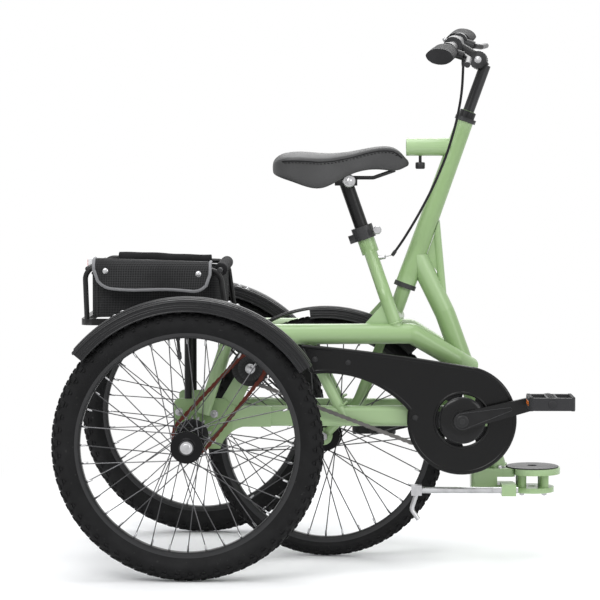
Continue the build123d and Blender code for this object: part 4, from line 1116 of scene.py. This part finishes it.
soften(caps.make("crank_caps", "black_metal", "crank", "black_alloy"))
dome = Shape()
dome.lathe(DOME, at(cx, -112.6, cz), RIGHT, 64)
soften(dome.make("crank_dome", "gloss_black", "crank", "black_alloy"))
loop = [polar((0, 0), EYE_R, a) for a in even(math.pi / 2, math.pi * 1.5, 40)]
loop += [(8 * n, -EYE_R + 1.02 * n) for n in range(1, 13)]
loop.append((98, 0))
loop += [(8 * n, EYE_R - 1.02 * n) for n in range(12, 0, -1)]
c, s = polar((0, 0), 1, ARM_ANGLE)
groove = Shape()
points = [at(cx + u * c - v * s, -ARM_FACE, cz + u * s + v * c) for u, v in loop + loop[:1]]
groove.rod(points, 0.0009, 6)
groove.make("crank_groove", "black_metal", "crank", "black_alloy")

# Pedals: tread ribs, reflectors and end caps
PEDAL_MIDDLE = 184
PEDAL_HALF = 46
PEDAL_FACE = 11.9
PEDAL_CAP = ((0.0078, -0.001), (0.0078, 0.0012), (0.0064, 0.002))
for side, sign in SIDES:
    px, pz = polar(CRANK, -sign * ARM_LONG, ARM_ANGLE)
    middle = sign * PEDAL_MIDDLE
    place = {"body": f"pedal_{side}", "slot": "pedal_grey" if sign < 0 else "pedal_black"}
    # place, half sizes, top over the pedal's middle and bevel of each rib
    rows = [(px + edge * 39.5, middle - 36 + n * 9, 3.2, 2.4, 13.4, 0.0005)
            for edge in (-1, 1) for n in range(9)]
    rows += [(px, middle - 33 + n * 11, 7, 1.6, 12.9, 0.0004) for n in range(7)]
    ribs = Shape()
    for x, y, half_x, half_y, top, bevel in rows:
        for face in (-1, 1):
            low, high = sorted((pz + face * PEDAL_FACE, pz + face * top))
            ribs.box(at(x - half_x, y - half_y, low), at(x + half_x, y + half_y, high), bevel)
    ribs.make(f"pedal_ribs_{side}", "pedal_black", smooth=False, **place)
    glow = Shape()
    for edge in (-1, 1):
        low, high = sorted((px + edge * 43.6, px + edge * 44.4))
        glow.box(at(low, middle - 24, pz - 4.5), at(high, middle + 24, pz + 4.5), 0.0002)
    glow.make(f"pedal_reflector_{side}", "orange", smooth=False, **place)
    cap = Shape()
    cap.lathe(PEDAL_CAP, at(px, middle + sign * PEDAL_HALF, pz), (0, sign, 0), 18)
    soften(cap.make(f"pedal_cap_{side}", "pedal_black", **place))

# Bolts and small controls on the frame
PLATE_BOLTS = ((-28, 294), (-24, 236), (40, 290), (36, 239))
CORNERS = [math.radians(45 + 90 * n) for n in range(4)]
COUPLING_TOP = 176
COUPLING_LOW = 128
DISC_X = 665
bolts = Shape()
for sign in (-1, 1):
    out = (0, sign, 0)
    for x, z in PLATE_BOLTS:
        bolts.bolt(at(x, sign * 92, z), out, 0.0058, 0.0055)
    for a in CORNERS:
        bolts.bolt(on_wheel(0, sign * 108, REAR_R, 21, a), out, 0.0034, 0.0034, 12)
    bolts.bolt(at(424, sign * 72.2, 284), out, 0.006, 0.005)
bolts.bolt(at(GEAR[0], -162, GEAR[1]), RIGHT, 0.007, 0.006)
for x in (556, 600):
    for y in (-22, 22):
        bolts.bolt(at(x, y, COUPLING_TOP), UP, 0.0048, 0.0048, 12)
soften(bolts.make("frame_bolts", "steel"))

PAD = ((0.0520, 0.0001), (0.0520, 0.0022), (0.050, 0.0030), (0.0095, 0.0030), (0.0095, 0.0001))
pad = Shape()
pad.lathe(PAD, at(DISC_X, 0, COUPLING_TOP), UP, 48)
soften(pad.make("coupling_pad", "black_metal"))
pad_bolts = Shape()
for a in CORNERS:
    pad_bolts.bolt(at(*polar((DISC_X, 0), 31, a), COUPLING_LOW), DOWN, 0.005, 0.005)
soften(pad_bolts.make("coupling_bolts", "steel"))

SEAT_TOP = Vector((330, 0, 642))
SEAT_FOOT = Vector((395, 0, 457))
SCREW_SHANK = ((0.0032, -0.016), (0.0032, 0.020), (0.0026, 0.021))
SCREW_KNOB = ((0.0075, 0.020), (0.0085, 0.0215), (0.0085, 0.028), (0.007, 0.0295))
SCREW_NUT = ((0.0058, 0), (0.0058, 0.006), (0.005, 0.007))
seat_dir = (SEAT_TOP - SEAT_FOOT).normalized()
clamp = at(*(SEAT_TOP - seat_dir * 4 + Vector((26, 0, 7))))
thumb = Shape()
thumb.lathe(SCREW_SHANK, clamp + Vector((0, -0.006, 0)), RIGHT, 12)
thumb.lathe(SCREW_KNOB, clamp + Vector((0, -0.006, 0)), RIGHT, 10)
thumb.lathe(SCREW_NUT, clamp + Vector((0, 0.022, 0)), RIGHT, 6)
soften(thumb.make("seat_clamp_screw", "steel"))
SOCKET_KNOB = ((0.003, 0), (0.003, 0.012), (0.0085, 0.013), (0.0095, 0.015), (0.0095, 0.024),
               (0.008, 0.026))
knob = Shape()
knob.lathe(SOCKET_KNOB, at(442, 0, 790.4), DOWN, 14)
soften(knob.make("socket_knob", "black_metal"))

# Stem: clamp bolts and serrated joint faces
STEM_JOINT = (556, 977)
SERRATION_R = 17.2
fittings = Shape()
for sign in (-1, 1):
    fittings.bolt(at(STEM_JOINT[0], sign * 19, STEM_JOINT[1]), (0, sign, 0), 0.0052, 0.0046, 16)
for y in (-14, 14):
    fittings.bolt(at(BAR_AT.x - 16, y, BAR_AT.z + 11), (-0.82, 0, 0.57), 0.0038, 0.0042, 12)
soften(fittings.make("stem_bolts", "steel", "steering", turn=True))
serration = Shape()
for sign in (-1, 1):
    for n in range(24):
        x, z = polar(STEM_JOINT, SERRATION_R, TURN * n / 24)
        serration.rod([at(x, sign * 5, z), at(x, sign * 13, z)], 0.0009, 5)
serration.make("stem_serration", "black_metal", "steering", "black_alloy", turn=True)

# Cable ends: ferrules on the casing, a stop on the seat tube and the bare wire between
FERRULE_TOP = ((0.0030, 0.0), (0.0038, 0.001), (0.0038, 0.009), (0.0029, 0.014))
FERRULE_LOW = ((0.0030, 0.0), (0.0036, 0.001), (0.0036, 0.010), (0.0028, 0.012))
STOP_GAP = 0.016
top, top_next = at(537, -137, 968.4), at(534, -130, 905)
low, low_next = at(391, -35, 594), at(412, -44, 622)
ferrule = Shape()
ferrule.lathe(FERRULE_TOP, top, top_next - top, 12)
ferrule.lathe(FERRULE_LOW, low, low_next - low, 12)
soften(ferrule.make("cable_ferrules", "black_metal", "steering", "cable", turn=True))
tip = STEER_TURN @ low
root = at(349, -12, 588)
reach = (tip - root).length - STOP_GAP
stop = Shape()
stop.lathe([(0.0045, 0), (0.0045, reach), (0.0038, reach + 0.001)], root, tip - root, 12)
soften(stop.make("cable_stop", "steel"))
inner = root + (tip - root).normalized() * (reach - 0.002)
outer = tip + (STEER_TURN @ low_next - tip).normalized() * 0.001
wire = Shape()
wire.rod([inner.lerp(outer, t) for t in even(0, 1, 24)], 0.0008, 8)
wire_piece = wire.make("cable_inner_wire", "steel", None)
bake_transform(wire_piece)


# Weld beads where tubes meet
def weld(shape, centre, axis, radius):
    """A rippled bead round a tube."""
    axis = Vector(axis).normalized()
    side = axis.orthogonal().normalized()
    other = axis.cross(side)
    loop = []
    for n in range(50):
        a = TURN * n / 48
        point = centre + (side * math.cos(a) + other * math.sin(a)) * radius
        loop.append(point + axis * (0.0005 * math.sin(a * 16)))
    shape.rod(loop, 0.0019, 7)


STAY_AXIS = (80, 0, -160)
beads = Shape()
for sign in (-1, 1):
    weld(beads, at(393, sign * 69.5, 467), (27, 0, -75), 0.0135)
    weld(beads, at(288, sign * 76.3, 307), STAY_AXIS, 0.0112)
    weld(beads, at(224, sign * 80, 425), STAY_AXIS, 0.0112)
    weld(beads, at(84, sign * 98.6, 445), (355, -sign * 34, 0), 0.0206)
weld(beads, at(594, 0, 176.6), (53, 0, -169), 0.0205)
soften(beads.make("weld_beads", "frame_paint"), 60)

# Gusset plates at the seat tube's foot and plugs in the fork crown's ends
GUSSET = ((332, 463), (392, 463), (373, 508))
CROWN_DROP = 69
CROWN_PLUG = ((0.0128, -0.006), (0.0128, -0.001), (0.0105, 0.0004))
gussets = Shape()
for sign in (-1, 1):
    gussets.slab(GUSSET, sign * 70, sign * 66)
soften(gussets.make("seat_gussets", "frame_paint"))
crown_at = STEER_LOW - STEER_DIR * CROWN_DROP
plugs = Shape()
for sign in (-1, 1):
    plugs.lathe(CROWN_PLUG, at(crown_at.x, sign * 46, crown_at.z), (0, sign, 0), 24)
soften(plugs.make("crown_plugs", "black_metal", "steering", "fork_paint", turn=True))

# Ribs round the hub gear
GEAR_RIB_R = 28.4
gear = Shape()
for y in (-134, -128, -122, -116, -111):
    gear.rod([on_wheel(GEAR[0], y, GEAR[1], GEAR_RIB_R, TURN * k / 40) for k in range(42)], 0.0014, 6)
gear.make("gear_ribs", "steel")
